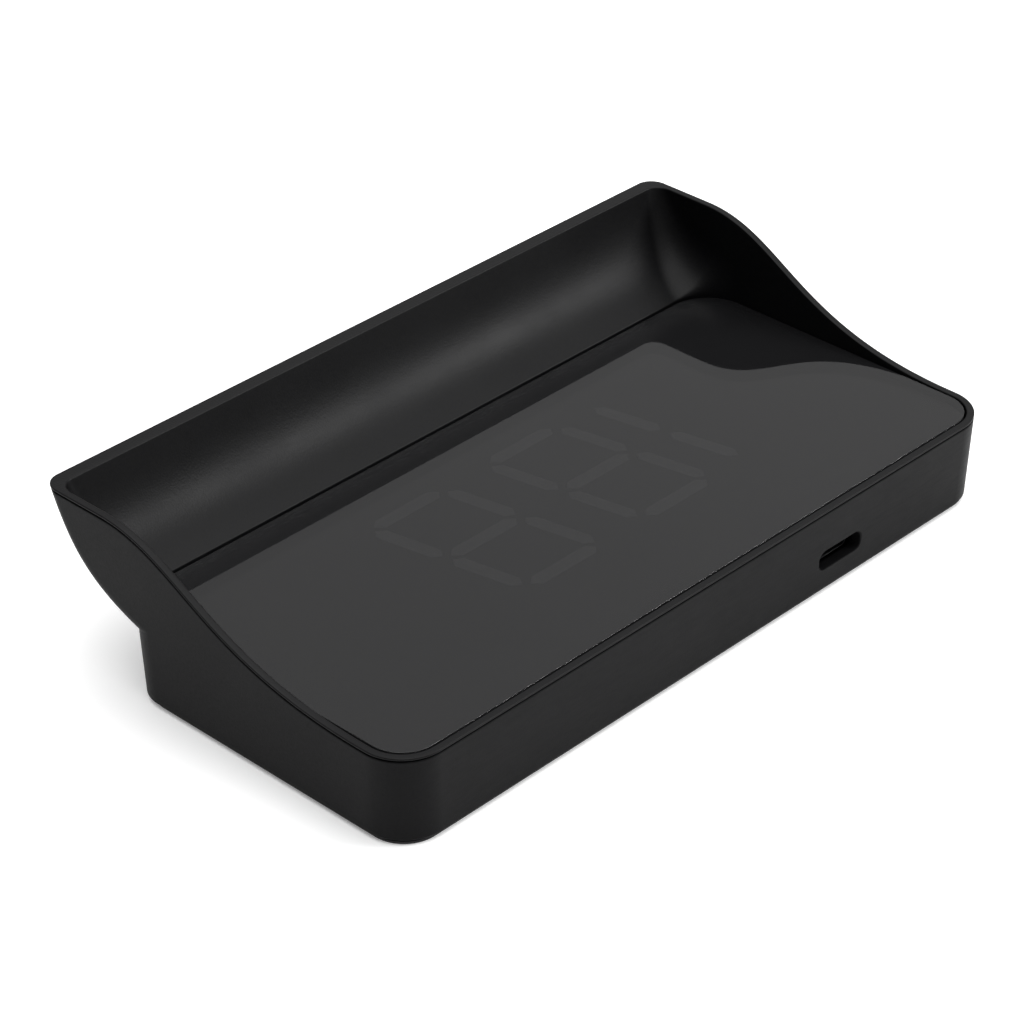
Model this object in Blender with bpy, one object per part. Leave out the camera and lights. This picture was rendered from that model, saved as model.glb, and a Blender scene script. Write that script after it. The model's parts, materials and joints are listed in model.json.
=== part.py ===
"""Dashboard head-up speed display: a low hooded housing with a tinted window over a mirrored three-digit display.

Dimensions are in millimetres and become metres through MM. X runs from left to right seen from the USB side,
-Y is the thin front edge with the USB socket, +Y is the hood, and +Z is up. The origin is the centre of the
footprint on the surface that the display stands on.
"""

import math

import bmesh
import bpy
from mathutils import Vector

MM = 0.001
GAP = 0.3                      # clearance between neighbouring pieces

# Housing, outside
CASE_WIDTH = 140.0             # across the rim of the hood
CASE_DEPTH = 77.8              # front edge to the back of the hood's rim
CASE_HEIGHT = 32.1             # resting surface to the top of the hood's rim
RIM_FRONT_Z = 16.3             # height of the rim at the front edge
SIDE_DRAFT = 0.0348            # the side walls lean out by 2 degrees
FRONT_DRAFT = 0.0341
CASE_BOTTOM_Z = 0.8
BASE_REAR_Y = 22.6             # rear wall of the base, under the hood
FRONT_CORNER_R = 7.85
HOOD_EDGE_R = 3.2
BASE_CORNER_R = 6.3
PARTING_DROP = 0.65            # the casing ends this far below the rim's top

# Housing, walls
BASE_WALL = 1.5
FRONT_WALL = 1.8
LAP_WALL = 0.65                # casing wall where the bezel's skirt laps inside it
SKIRT = 0.4                    # the bezel's skirt beside the window
LAP_FLOOR_Z = 12.4
HOOD_CASE_WALL = 0.95
HOOD_THICKNESS = 2.5           # casing, gap and liner together

# Window
WINDOW_TOP_Z = 16.25
WINDOW_T = 1.2
WINDOW_REAR_Y = 23.85
WINDOW_FRONT_R = 6.2
WINDOW_REAR_R = 8.1
TAPE_T = 0.35
LEDGE_W = 2.6

# Base
PAD_T = 0.5
PAD_INSET = 0.75
PAD_CORNER_R = 6.2
COVER_T = 1.6
SCREW_AT = [(-62.5, -30.5), (62.5, -30.5), (-62.5, 14.5), (62.5, 14.5)]
PCB_SCREW_AT = [(-54.0, -31.5), (54.0, -31.5), (-54.0, 12.5), (54.0, 12.5)]

# Electronics
PCB_Z = 8.3
PCB_T = 1.2
USB_X, USB_Z = 30.2, 6.4
USB_SLOT_W, USB_SLOT_H = 10.5, 3.5
BUTTON_X, SWITCH_X, CONTROL_Z = -18.0, 6.0, 6.2
BUTTON_TRAVEL = 0.4
SWITCH_TRAVEL = 2.0
DIGIT_HALF_W, DIGIT_HALF_H, DIGIT_SLANT = 8.25, 14.6, -0.19
DIGIT_AT = [(-15.7, -2.95), (11.15, -2.75)]
ONE_X, ONE_Y = 28.0, -2.45
STROKE = 2.7

FRONT_Y, REAR_Y = -CASE_DEPTH / 2, CASE_DEPTH / 2


# ---------------------------------------------------------------- shapes of the housing


def bezier(points, count):
    out = []
    for i in range(count + 1):
        t = i / count
        w = ((1 - t) ** 3, 3 * t * (1 - t) ** 2, 3 * t * t * (1 - t), t ** 3)
        out.append((sum(a * p[0] for a, p in zip(w, points)), sum(a * p[1] for a, p in zip(w, points))))
    return out


# The rim drops from the hood to the front edge in one S-shaped sweep.
RIM_SWEEP = [(25.0, CASE_HEIGHT), (7.8, CASE_HEIGHT), (3.8, RIM_FRONT_Z), (-30.25, RIM_FRONT_Z)]
# The back of the hood is a shallow bowl that runs down and forward to the base.
HOOD_BACK = [(REAR_Y, CASE_HEIGHT), (35.3, 21.2), (31.1, 16.1), (19.6, 12.2)]


def offset_curve(points, distance):
    """Moves an open curve to its left by distance."""
    out = []
    for i, p in enumerate(points):
        a, b = points[max(i - 1, 0)], points[min(i + 1, len(points) - 1)]
        dy, dz = b[0] - a[0], b[1] - a[1]
        length = math.hypot(dy, dz)
        out.append((p[0] - dz / length * distance, p[1] + dy / length * distance))
    return out


def rim(drop=0.0, count=14):
    """The rim's sweep from the hood's end to the front's end."""
    return [(y, z - drop) for y, z in bezier(RIM_SWEEP, count)]


def hood(inset=0.0, count=9):
    """The hood's back from its lower end to its top, moved inward by inset."""
    return offset_curve(bezier(HOOD_BACK, count)[::-1], inset)


def cut_below(curve, y_limit):
    """Keeps an upward curve from where it crosses y_limit."""
    out = []
    for a, b in zip(curve, curve[1:]):
        if a[0] < y_limit <= b[0]:
            t = (y_limit - a[0]) / (b[0] - a[0])
            out.append((y_limit, a[1] + t * (b[1] - a[1])))
        if b[0] > y_limit:
            out.append(b)
    return [p for i, p in enumerate(out) if i == 0 or math.dist(p, out[i - 1]) > 0.35]


def cut_above(curve, z_limit):
    """Keeps an upward curve up to where it crosses z_limit."""
    out = []
    for a, b in zip(curve, curve[1:]):
        if a[1] < z_limit:
            out.append(a)
        if a[1] < z_limit <= b[1]:
            t = (z_limit - a[1]) / (b[1] - a[1])
            out.append((a[0] + t * (b[0] - a[0]), z_limit))
    return [p for i, p in enumerate(out) if i == len(out) - 1 or math.dist(p, out[i + 1]) > 0.35]


def half_width(z):
    return CASE_WIDTH / 2 - SIDE_DRAFT * (CASE_HEIGHT - z)


def front_y(z):
    return FRONT_Y + FRONT_DRAFT * (RIM_FRONT_Z - z)


def inset_profile(profile, distances):
    """Moves each side of a counter-clockwise closed profile inward by its own distance."""
    count = len(profile)
    lines = []
    for i in range(count):
        (y0, z0), (y1, z1) = profile[i], profile[(i + 1) % count]
        length = math.hypot(y1 - y0, z1 - z0)
        d = ((y1 - y0) / length, (z1 - z0) / length)
        n = (-d[1], d[0])
        lines.append((y0 + n[0] * distances[i], z0 + n[1] * distances[i], d[0], d[1], n))
    out = []
    for i in range(count):
        a, b = lines[i - 1], lines[i]
        cross = a[2] * b[3] - a[3] * b[2]
        if abs(cross) < 0.35:
            dist = (distances[i - 1] + distances[i]) / 2
            ny, nz = a[4][0] + b[4][0], a[4][1] + b[4][1]
            length = math.hypot(ny, nz)
            out.append((profile[i][0] + ny / length * dist, profile[i][1] + nz / length * dist))
        else:
            t = ((b[0] - a[0]) * b[3] - (b[1] - a[1]) * b[2]) / cross
            out.append((a[0] + a[2] * t, a[1] + a[3] * t))
    return out


def crowned_prism(profile, radii, wall=0.0, steps=4):
    """A side profile swept across the housing, wall inside its side faces, with each side's end edges rounded to its own radius."""
    count = len(profile)
    rings = []
    for k in range(steps + 1):
        phi = math.radians(90.0) * k / steps
        points = inset_profile(profile, [r * (1 - math.cos(phi)) for r in radii])
        ring = []
        for i, (y, z) in enumerate(points):
            r = max(radii[i - 1], radii[i])
            ring.append((half_width(z) - wall - r * (1 - math.sin(phi)), y, z))
        rings.append(ring)
    order = [[(-x, y, z) for x, y, z in ring] for ring in reversed(rings)] + rings
    bm = bmesh.new()
    verts = [[bm.verts.new(Vector(p) * MM) for p in ring] for ring in order]
    for a, b in zip(verts, verts[1:]):
        for i in range(count):
            j = (i + 1) % count
            bm.faces.new((a[i], a[j], b[j], b[i]))
    bm.faces.new(verts[0][::-1])
    bm.faces.new(verts[-1])
    bmesh.ops.remove_doubles(bm, verts=bm.verts, dist=2e-6)
    bmesh.ops.recalc_face_normals(bm, faces=bm.faces)
    return bm


# ---------------------------------------------------------------- simple shapes


def prism(outline, z0, z1):
    """A flat outline pulled up from z0 to z1."""
    bm = bmesh.new()
    face = bm.faces.new([bm.verts.new((x * MM, y * MM, z0 * MM)) for x, y in outline])
    made = bmesh.ops.extrude_face_region(bm, geom=[face])
    bmesh.ops.translate(bm, verts=[v for v in made["geom"] if isinstance(v, bmesh.types.BMVert)], vec=(0, 0, (z1 - z0) * MM))
    bmesh.ops.recalc_face_normals(bm, faces=bm.faces)
    return bm


def along_y(outline, y0, y1):
    """An outline in X and Z pulled from y0 to y1."""
    bm = prism(outline, y0, y1)
    for v in bm.verts:
        v.co = Vector((v.co.x, v.co.z, v.co.y))
    bmesh.ops.recalc_face_normals(bm, faces=bm.faces)
    return bm


def rounded(x0, x1, y0, y1, radii, steps=5):
    """A rectangle with one radius per corner, from the lower left one round counter-clockwise."""
    if not isinstance(radii, (list, tuple)):
        radii = [radii] * 4
    corners = [(x0, y0, 180), (x1, y0, 270), (x1, y1, 0), (x0, y1, 90)]
    out = []
    for (x, y, start), r in zip(corners, radii):
        if r <= 0:
            out.append((x, y))
            continue
        cx, cy = x + (r if x == x0 else -r), y + (r if y == y0 else -r)
        for k in range(steps + 1):
            a = math.radians(start + 90.0 * k / steps)
            out.append((cx + r * math.cos(a), cy + r * math.sin(a)))
    return [p for i, p in enumerate(out) if math.dist(p, out[i - 1]) > 1e-4]


def block(x0, x1, y0, y1, z0, z1):
    return prism([(x0, y0), (x1, y0), (x1, y1), (x0, y1)], z0, z1)


def cylinder(x, y, z0, z1, r, sides=20):
    ring = [(x + r * math.cos(2 * math.pi * k / sides), y + r * math.sin(2 * math.pi * k / sides)) for k in range(sides)]
    return prism(ring, z0, z1)


def material(name, colour, roughness, metallic=0.0):
    mat = bpy.data.materials.get(name) or bpy.data.materials.new(name)
    mat.use_nodes = True
    bsdf = mat.node_tree.nodes["Principled BSDF"]
    bsdf.inputs["Base Color"].default_value = (*colour, 1.0)
    bsdf.inputs["Roughness"].default_value = roughness
    bsdf.inputs["Metallic"].default_value = metallic
    mat.diffuse_color = (*colour, 1.0)
    return mat


def add(name, bm, mat, at=(0, 0, 0), smooth=False):
    """Makes an object whose origin is at the given place in millimetres."""
    for v in bm.verts:
        v.co -= Vector(at) * MM
    mesh = bpy.data.meshes.new(name)
    bm.to_mesh(mesh)
    bm.free()
    obj = bpy.data.objects.new(name, mesh)
    obj.location = Vector(at) * MM
    bpy.context.scene.collection.objects.link(obj)
    if mat is not None:
        mesh.materials.append(mat)
    if smooth:
        mesh.shade_smooth()
        mesh.set_sharp_from_angle(angle=math.radians(32))
    return obj


def helper(name, bm):
    obj = add(name, bm, None)
    obj.hide_render = True
    obj.display_type = "WIRE"
    return obj


def boolean(obj, other, operation="DIFFERENCE"):
    mod = obj.modifiers.new(other.name, "BOOLEAN")
    mod.operation = operation
    mod.solver = "EXACT"
    mod.object = other
    return mod


# ---------------------------------------------------------------- the pieces

for old in list(bpy.data.objects):
    bpy.data.objects.remove(old, do_unlink=True)

BLACK_ABS = material("black_abs", (0.020, 0.020, 0.021), 0.45)
LINER_ABS = material("liner_abs", (0.018, 0.018, 0.019), 0.42)
TINTED = material("tinted_acrylic", (0.012, 0.012, 0.013), 0.06)
SILICONE = material("black_silicone", (0.03, 0.03, 0.03), 0.8)
FOAM = material("tape_foam", (0.05, 0.05, 0.05), 0.9)
FR4 = material("solder_mask", (0.01, 0.09, 0.045), 0.35)
STEEL = material("screw_steel", (0.55, 0.55, 0.56), 0.35, 1.0)
TIN = material("tinned_steel", (0.7, 0.7, 0.71), 0.3, 1.0)
BLACK_PART = material("component_black", (0.025, 0.025, 0.027), 0.5)
WHITE_PART = material("reflector_white", (0.75, 0.75, 0.74), 0.5)
DIFFUSER = material("diffuser_film", (0.8, 0.8, 0.8), 0.6)
CERAMIC = material("antenna_ceramic", (0.62, 0.55, 0.42), 0.6)
SILICON = material("solar_silicon", (0.012, 0.016, 0.035), 0.25)
POUCH = material("cell_pouch", (0.6, 0.61, 0.62), 0.4, 0.6)
RED_WIRE = material("wire_red", (0.5, 0.02, 0.02), 0.5)
BLACK_WIRE = material("wire_black", (0.02, 0.02, 0.02), 0.5)
CREAM = material("connector_cream", (0.75, 0.72, 0.62), 0.5)
LED_MAT = material("led_body", (0.85, 0.84, 0.7), 0.35)

# Casing: front, sides, rear base wall and the hood's back, open above and below
junction = cut_below(hood(), BASE_REAR_Y)
outer_top = cut_above(junction, CASE_HEIGHT - PARTING_DROP)
parting = rim(PARTING_DROP)
profile = [(front_y(CASE_BOTTOM_Z), CASE_BOTTOM_Z), (BASE_REAR_Y - 0.3, CASE_BOTTOM_Z)] + outer_top + parting
profile.append((front_y(RIM_FRONT_Z - PARTING_DROP), RIM_FRONT_Z - PARTING_DROP))
radii = [0.0, BASE_CORNER_R] + [HOOD_EDGE_R] * (len(outer_top) - 1) + [0.0] * (len(parting) + 1) + [FRONT_CORNER_R]
casing = add("outer_casing", crowned_prism(profile, radii), BLACK_ABS, smooth=True)

inner_rear = BASE_REAR_Y - 1.8
lap = cut_below(hood(HOOD_CASE_WALL), inner_rear)
lap_top = lap + [(lap[-1][0] + 1.2, 40.0)]
profile = [(FRONT_Y + LAP_WALL, LAP_FLOOR_Z), (inner_rear, LAP_FLOOR_Z)] + lap_top + [(FRONT_Y + LAP_WALL, 40.0)]
radii = [0.0, BASE_CORNER_R - 1.8] + [HOOD_EDGE_R - HOOD_CASE_WALL] * (len(lap_top) - 1) + [0.0, FRONT_CORNER_R - LAP_WALL]
boolean(casing, helper("cut_lap", crowned_prism(profile, radii, LAP_WALL)))

cover_corner = [FRONT_CORNER_R - FRONT_WALL, FRONT_CORNER_R - FRONT_WALL, BASE_CORNER_R - 1.8, BASE_CORNER_R - 1.8]
inner_half = half_width(CASE_BOTTOM_Z) - BASE_WALL
well_front = front_y(CASE_BOTTOM_Z) + FRONT_WALL
boolean(casing, helper("cut_well", prism(rounded(-inner_half, inner_half, well_front, inner_rear, cover_corner), -2.0, LAP_FLOOR_Z + 0.4)))

for i, (x, y) in enumerate(SCREW_AT):
    side = 1 if x > 0 else -1
    lug = helper(f"lug_{i}", block(min(x - 2.9 * side, 68.3 * side), max(x - 2.9 * side, 68.3 * side), y - 3.1, y + 3.1, 5.2, 7.5))
    boolean(casing, lug, "UNION")
for i, (x, y) in enumerate(SCREW_AT):
    boolean(casing, helper(f"lug_hole_{i}", cylinder(x, y, 4.0, 9.0, 1.4, 16)))

slot = rounded(USB_X - USB_SLOT_W / 2, USB_X + USB_SLOT_W / 2, USB_Z - USB_SLOT_H / 2, USB_Z + USB_SLOT_H / 2, 1.5, 4)
boolean(casing, helper("cut_usb", along_y(slot, FRONT_Y - 2, well_front + 1)))
cap_hole = rounded(BUTTON_X - 4.3, BUTTON_X + 4.3, CONTROL_Z - 2.1, CONTROL_Z + 2.1, 2.0, 4)
boolean(casing, helper("cut_button", along_y(cap_hole, inner_rear - 1, BASE_REAR_Y + 2)))
boolean(casing, helper("cut_switch", block(SWITCH_X - 2.4, SWITCH_X + 2.4, inner_rear - 1, BASE_REAR_Y + 2, CONTROL_Z - 1.2, CONTROL_Z + 1.2)))

# Bezel and hood liner: the rim, the skirt, the ledge under the window, and the concave trough of the hood
top = rim()
back = cut_above(hood(), CASE_HEIGHT)
low_back = cut_above(hood(), CASE_HEIGHT - 0.35)[-1]
profile = [(front_y(RIM_FRONT_Z - 0.35), RIM_FRONT_Z - 0.35)] + rim(0.35)[::-1] + [low_back, (REAR_Y, CASE_HEIGHT)] + top + [(FRONT_Y, RIM_FRONT_Z)]
radii = [0.0] * len(profile)
radii[len(top) + 1] = HOOD_EDGE_R
radii[-1] = FRONT_CORNER_R
bezel = add("bezel_hood_liner", crowned_prism(profile, radii), LINER_ABS, smooth=True)

skirt_y = FRONT_Y + LAP_WALL + GAP
skirt_rear = inner_rear - GAP
body = cut_below(hood(HOOD_CASE_WALL + GAP), skirt_rear)
body = cut_above(body, CASE_HEIGHT - 0.15)
profile = [(skirt_y, LAP_FLOOR_Z + GAP), (skirt_rear, LAP_FLOOR_Z + GAP)] + body + rim(0.15) + [(skirt_y, RIM_FRONT_Z - 0.15)]
radii = [0.0, BASE_CORNER_R - 2.1] + [HOOD_EDGE_R - HOOD_CASE_WALL - GAP] * (len(body) - 1) + [0.0] * 16 + [FRONT_CORNER_R - LAP_WALL - GAP]
boolean(bezel, helper("bezel_body", crowned_prism(profile, radii, LAP_WALL + GAP)), "UNION")

view_wall = LAP_WALL + GAP + SKIRT
ledge_z = WINDOW_TOP_Z - WINDOW_T - TAPE_T - 2 * GAP
trough = cut_below(hood(HOOD_THICKNESS, 12), WINDOW_REAR_Y)
trough = trough + [(trough[-1][0] + 0.9, 40.0)]
profile = [(FRONT_Y + view_wall, ledge_z), (WINDOW_REAR_Y, ledge_z)] + trough + [(FRONT_Y + view_wall, 40.0)]
sweep = len(trough) - 1
radii = [0.0, WINDOW_REAR_R + GAP]
radii += [WINDOW_REAR_R + GAP - (WINDOW_REAR_R + GAP - 2.4) * min(1.0, i / (sweep - 1)) for i in range(sweep)]
radii += [0.0, WINDOW_FRONT_R + GAP]
boolean(bezel, helper("cut_view", crowned_prism(profile, radii, view_wall)))

inner_x = half_width(ledge_z) - view_wall - LEDGE_W
inner_y = FRONT_Y + view_wall + LEDGE_W
right_edge = [(inner_x, inner_y)]
for y in (SCREW_AT[0][1], SCREW_AT[2][1]):
    right_edge += [(inner_x, y - 3.2), (59.9, y - 3.2), (59.9, y + 3.2), (inner_x, y + 3.2)]
right_edge.append((inner_x, 26.0))
opening = right_edge + [(-x, y) for x, y in reversed(right_edge)]
boolean(bezel, helper("cut_light_well", prism(opening, 10.0, ledge_z + 0.35)))
for i, (x, y) in enumerate(SCREW_AT):
    boolean(bezel, helper(f"post_{i}", cylinder(x, y, 7.8, ledge_z - 0.5, 2.4, 18)), "UNION")
for i, (x, y) in enumerate(SCREW_AT):
    boolean(bezel, helper(f"post_hole_{i}", cylinder(x, y, 6.0, ledge_z - 0.9, 1.25, 14)))

# Window, its tape and the base
window_x = half_width(WINDOW_TOP_Z) - view_wall - GAP - 0.05
window_y = FRONT_Y + view_wall + GAP
window_r = [WINDOW_FRONT_R, WINDOW_FRONT_R, WINDOW_REAR_R, WINDOW_REAR_R]
window_outline = rounded(-window_x, window_x, window_y, WINDOW_REAR_Y - GAP, window_r, 6)
add("display_window", prism(window_outline, WINDOW_TOP_Z - WINDOW_T, WINDOW_TOP_Z), TINTED, smooth=True)
tape = add("window_tape", prism(rounded(-window_x + 0.3, window_x - 0.3, window_y + 0.2, 14.5, [5.9, 5.9, 0, 0]), ledge_z + GAP, ledge_z + GAP + TAPE_T), FOAM)
boolean(tape, helper("tape_inside", prism(rounded(-inner_x - 0.3, inner_x + 0.3, window_y + 2.2, 25.0, [4.0, 4.0, 0, 0]), ledge_z - 1.0, ledge_z + 2.0)))

cover_x = inner_half - GAP
cover_outline = rounded(-cover_x, cover_x, well_front + GAP, inner_rear - GAP, [r - GAP for r in cover_corner])
cover = add("base_cover", prism(cover_outline, CASE_BOTTOM_Z, CASE_BOTTOM_Z + COVER_T), BLACK_ABS)
for i, (x, y) in enumerate(SCREW_AT):
    boolean(cover, helper(f"column_{i}", cylinder(x, y, CASE_BOTTOM_Z + 0.4, 4.9, 3.2, 20)), "UNION")
for i, (x, y) in enumerate(PCB_SCREW_AT):
    boolean(cover, helper(f"standoff_{i}", cylinder(x, y, CASE_BOTTOM_Z + 0.4, PCB_Z - GAP, 2.2, 16)), "UNION")
for i, (x, y) in enumerate(SCREW_AT):
    boolean(cover, helper(f"head_bore_{i}", cylinder(x, y, -1.0, 3.2, 2.3, 20)))
    boolean(cover, helper(f"shank_bore_{i}", cylinder(x, y, 1.0, 6.0, 1.4, 16)))
for i, (x, y) in enumerate(PCB_SCREW_AT):
    boolean(cover, helper(f"standoff_bore_{i}", cylinder(x, y, 3.6, 9.0, 1.1, 12)))

pad_half = half_width(CASE_BOTTOM_Z) - PAD_INSET
pad_outline = rounded(-pad_half, pad_half, front_y(CASE_BOTTOM_Z) + PAD_INSET, BASE_REAR_Y - 0.3 - PAD_INSET, PAD_CORNER_R, 6)
add("anti_slip_pad", prism(pad_outline, 0.0, PAD_T), SILICONE)


def screw(name, x, y, head_z0, head_z1, tip_z, head_r, shank_r):
    """A pan-head screw turned on its own axis, with a cross slot in its head."""
    up = 1 if tip_z > head_z1 else -1
    outside, inside = (head_z0, head_z1) if up > 0 else (head_z1, head_z0)
    edge = 0.25 * (inside - outside)
    rings = [(outside, head_r - 0.35), (outside + edge, head_r), (inside, head_r), (inside, shank_r), (tip_z - 0.5 * up, shank_r), (tip_z, shank_r * 0.5)]
    sides = 14
    bm = bmesh.new()
    loops = []
    for z, r in rings:
        loops.append([bm.verts.new(((x + r * math.cos(2 * math.pi * k / sides)) * MM, (y + r * math.sin(2 * math.pi * k / sides)) * MM, z * MM)) for k in range(sides)])
    for a, b in zip(loops, loops[1:]):
        for k in range(sides):
            bm.faces.new((a[k], a[(k + 1) % sides], b[(k + 1) % sides], b[k]))
    bm.faces.new(loops[0])
    bm.faces.new(loops[-1])
    bmesh.ops.recalc_face_normals(bm, faces=bm.faces)
    obj = add(name, bm, STEEL, at=(x, y, inside), smooth=True)
    reach = abs(inside - outside) * 0.55
    cross = [(-0.24, -1.0), (0.24, -1.0), (0.24, -0.24), (1.0, -0.24), (1.0, 0.24), (0.24, 0.24), (0.24, 1.0), (-0.24, 1.0), (-0.24, 0.24), (-1.0, 0.24), (-1.0, -0.24), (-0.24, -0.24)]
    scale = head_r * 0.58
    z0, z1 = sorted((outside - up * 0.5, outside + up * reach))
    boolean(obj, helper(name + "_recess", prism([(x + a * scale, y + b * scale) for a, b in cross], z0, z1)))
    return obj


for i, (x, y) in enumerate(SCREW_AT):
    screw(f"case_screw_{i + 1}", x, y, 1.5, 2.9, 12.2, 1.9, 0.95)
for i, (x, y) in enumerate(PCB_SCREW_AT):
    screw(f"pcb_screw_{i + 1}", x, y, PCB_Z + PCB_T + GAP, PCB_Z + PCB_T + GAP + 0.9, 4.4, 1.7, 0.8)

# Circuit board
pcb_top = PCB_Z + PCB_T
part_z = pcb_top + GAP
pcb = add("main_pcb", prism(rounded(-58.5, 58.5, -36.0, 18.0, 1.5, 3), PCB_Z, pcb_top), FR4)
for i, (x, y) in enumerate(PCB_SCREW_AT):
    boolean(pcb, helper(f"pcb_hole_{i}", cylinder(x, y, 7.0, 11.0, 1.15, 14)))

# Display: a reflector block, a diffusing film and a mask, each digit made of pointed strokes


def stroke(x0, y0, x1, y1, width=STROKE):
    """A stroke with pointed ends."""
    length = math.hypot(x1 - x0, y1 - y0)
    dx, dy = (x1 - x0) / length, (y1 - y0) / length
    h = width / 2
    return [(x0, y0), (x0 + dx * h + dy * h, y0 + dy * h - dx * h), (x1 - dx * h + dy * h, y1 - dy * h - dx * h), (x1, y1), (x1 - dx * h - dy * h, y1 - dy * h + dx * h), (x0 + dx * h - dy * h, y0 + dy * h + dx * h)]


def digit_strokes(cx, cy):
    """The seven strokes of an eight, slanted."""
    w, h, gap = DIGIT_HALF_W, DIGIT_HALF_H, 0.75

    def at(x, y):
        return (cx + x + DIGIT_SLANT * y, cy + y)

    ends = [((-w + gap, h), (w - gap, h)), ((-w + gap, 0), (w - gap, 0)), ((-w + gap, -h), (w - gap, -h))]
    for x in (-w, w):
        ends += [((x, h - gap), (x, gap)), ((x, -gap), (x, gap - h))]
    return [stroke(*at(*a), *at(*b)) for a, b in ends]


strokes = digit_strokes(*DIGIT_AT[0]) + digit_strokes(*DIGIT_AT[1])
for sign in (1, -1):
    a, b = sign * (DIGIT_HALF_H - 0.75), sign * 0.75
    strokes.append(stroke(ONE_X + DIGIT_SLANT * a, ONE_Y + a, ONE_X + DIGIT_SLANT * b, ONE_Y + b))

cell = (-30.1, 34.9, -21.6, 16.0)
mask_z = WINDOW_TOP_Z - WINDOW_T - GAP - 0.5
reflector = add("display_reflector", block(*cell, part_z, mask_z - 2 * GAP - 0.3), WHITE_PART)
mask = add("display_mask", block(*cell, mask_z, mask_z + 0.5), BLACK_PART)
add("diffuser_film", block(cell[0] + 0.5, cell[1] - 0.5, cell[2] + 0.5, cell[3] - 0.5, mask_z - GAP - 0.3, mask_z - GAP), DIFFUSER)
for i, outline in enumerate(strokes):
    boolean(mask, helper(f"mask_stroke_{i}", prism(outline, mask_z - 1.0, mask_z + 1.5)))
    cx = sum(p[0] for p in outline) / 6
    cy = sum(p[1] for p in outline) / 6
    cavity = [(cx + (x - cx) * 0.96, cy + (y - cy) * 0.96) for x, y in outline]
    boolean(reflector, helper(f"reflector_cavity_{i}", prism(cavity, part_z - 1.0, mask_z + 1.0)))
    add(f"segment_led_{i + 1:02d}", block(cx - 0.5, cx + 0.5, cy - 0.5, cy + 0.5, part_z, part_z + 0.5), LED_MAT, at=(cx, cy, part_z))

# Solar cells under the blank parts of the window, with their flex tails
cell_z = ledge_z + GAP
add("solar_cell_left", block(-64.3, -34.5, -34.0, 19.0, cell_z, cell_z + TAPE_T), SILICON)
add("solar_cell_right", block(36.5, 64.3, -34.0, -3.5, cell_z, cell_z + TAPE_T), SILICON)
add("solar_flex_left", block(-38.0, -34.8, -28.0, -27.75, part_z, cell_z - GAP), BLACK_PART)
add("solar_flex_right", block(37.2, 40.4, -28.0, -27.75, part_z, cell_z - GAP), BLACK_PART)

# Parts on the board
antenna = add("gps_antenna", block(39.5, 57.5, -1.0, 8.8, part_z, part_z + 3.6), CERAMIC)
shield = add("gps_shield_can", prism(rounded(-55.0, -42.0, -12.0, 1.0, 0.6, 3), part_z, part_z + 2.0), TIN)
add("controller_chip", prism(rounded(-46.0, -39.0, 5.0, 12.0, 0.3, 2), part_z, part_z + 1.0), BLACK_PART)
add("charge_chip", block(16.0, 20.0, -31.5, -28.5, part_z, part_z + 0.8), BLACK_PART)
add("charge_inductor", prism(rounded(8.0, 12.5, -32.0, -27.5, 1.2, 4), part_z, part_z + 1.9), BLACK_PART)
buzzer = add("buzzer", cylinder(-50.0, -24.0, part_z, part_z + 3.4, 4.3, 24), BLACK_PART, smooth=True)
boolean(buzzer, helper("buzzer_port", cylinder(-50.0, -24.0, part_z + 2.6, part_z + 5.0, 0.9, 12)))
add("light_sensor", block(-8.0, -6.0, -30.5, -28.5, part_z, part_z + 0.7), CREAM)

# USB-C socket: a steel shell open at the front, with the contact tongue inside it
usb_y0, usb_y1 = well_front + GAP, well_front + GAP + 7.3
shell = add("usb_shell", along_y(rounded(USB_X - 4.47, USB_X + 4.47, USB_Z - 1.6, USB_Z + 1.6, 1.4, 4), usb_y0, usb_y1), TIN, smooth=True)
boolean(shell, helper("usb_cavity", along_y(rounded(USB_X - 4.15, USB_X + 4.15, USB_Z - 1.28, USB_Z + 1.28, 1.1, 4), usb_y0 - 1, usb_y1 - 0.5)))
tongue = add("usb_tongue", block(USB_X - 3.35, USB_X + 3.35, usb_y0 + 1.2, usb_y1 - 1.6, USB_Z - 0.35, USB_Z + 0.35), BLACK_PART)
boolean(tongue, helper("usb_tongue_root", block(USB_X - 3.7, USB_X + 3.7, usb_y1 - 2.2, usb_y1 - 0.8, USB_Z - 0.9, USB_Z + 0.9)), "UNION")

# Cell under the board, its tape, leads and plug
add("cell_tape", block(-32.0, 14.0, -26.0, 6.0, CASE_BOTTOM_Z + COVER_T + GAP, CASE_BOTTOM_Z + COVER_T + GAP + 0.4), FOAM)
add("lithium_cell", prism(rounded(-34.0, 16.0, -28.0, 8.0, 1.5, 3), 3.4, 7.6), POUCH)
add("lead_plug", block(24.0, 28.0, -12.0, -6.0, 4.9, PCB_Z - GAP), CREAM)
for name, y0, y1, mat in (("cell_lead_red", -3.5, -7.8, RED_WIRE), ("cell_lead_black", -15.5, -10.2, BLACK_WIRE)):
    curve = bpy.data.curves.new(name, "CURVE")
    curve.dimensions = "3D"
    curve.bevel_depth = 0.45 * MM
    curve.bevel_resolution = 2
    curve.use_fill_caps = True
    spline = curve.splines.new("POLY")
    start, end = Vector((16.35, y0, 5.4)), Vector((23.65, y1, 6.4))
    path = []
    for k in range(11):
        t = k / 10
        s = t * t * (3 - 2 * t)
        path.append(Vector((start.x + (end.x - start.x) * t, start.y + (end.y - start.y) * s, start.z + (end.z - start.z) * s)))
    spline.points.add(len(path) - 1)
    for point, p in zip(spline.points, path):
        point.co = (*(p * MM), 1.0)
    curve.materials.append(mat)
    lead = bpy.data.objects.new(name, curve)
    bpy.context.scene.collection.objects.link(lead)

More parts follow.
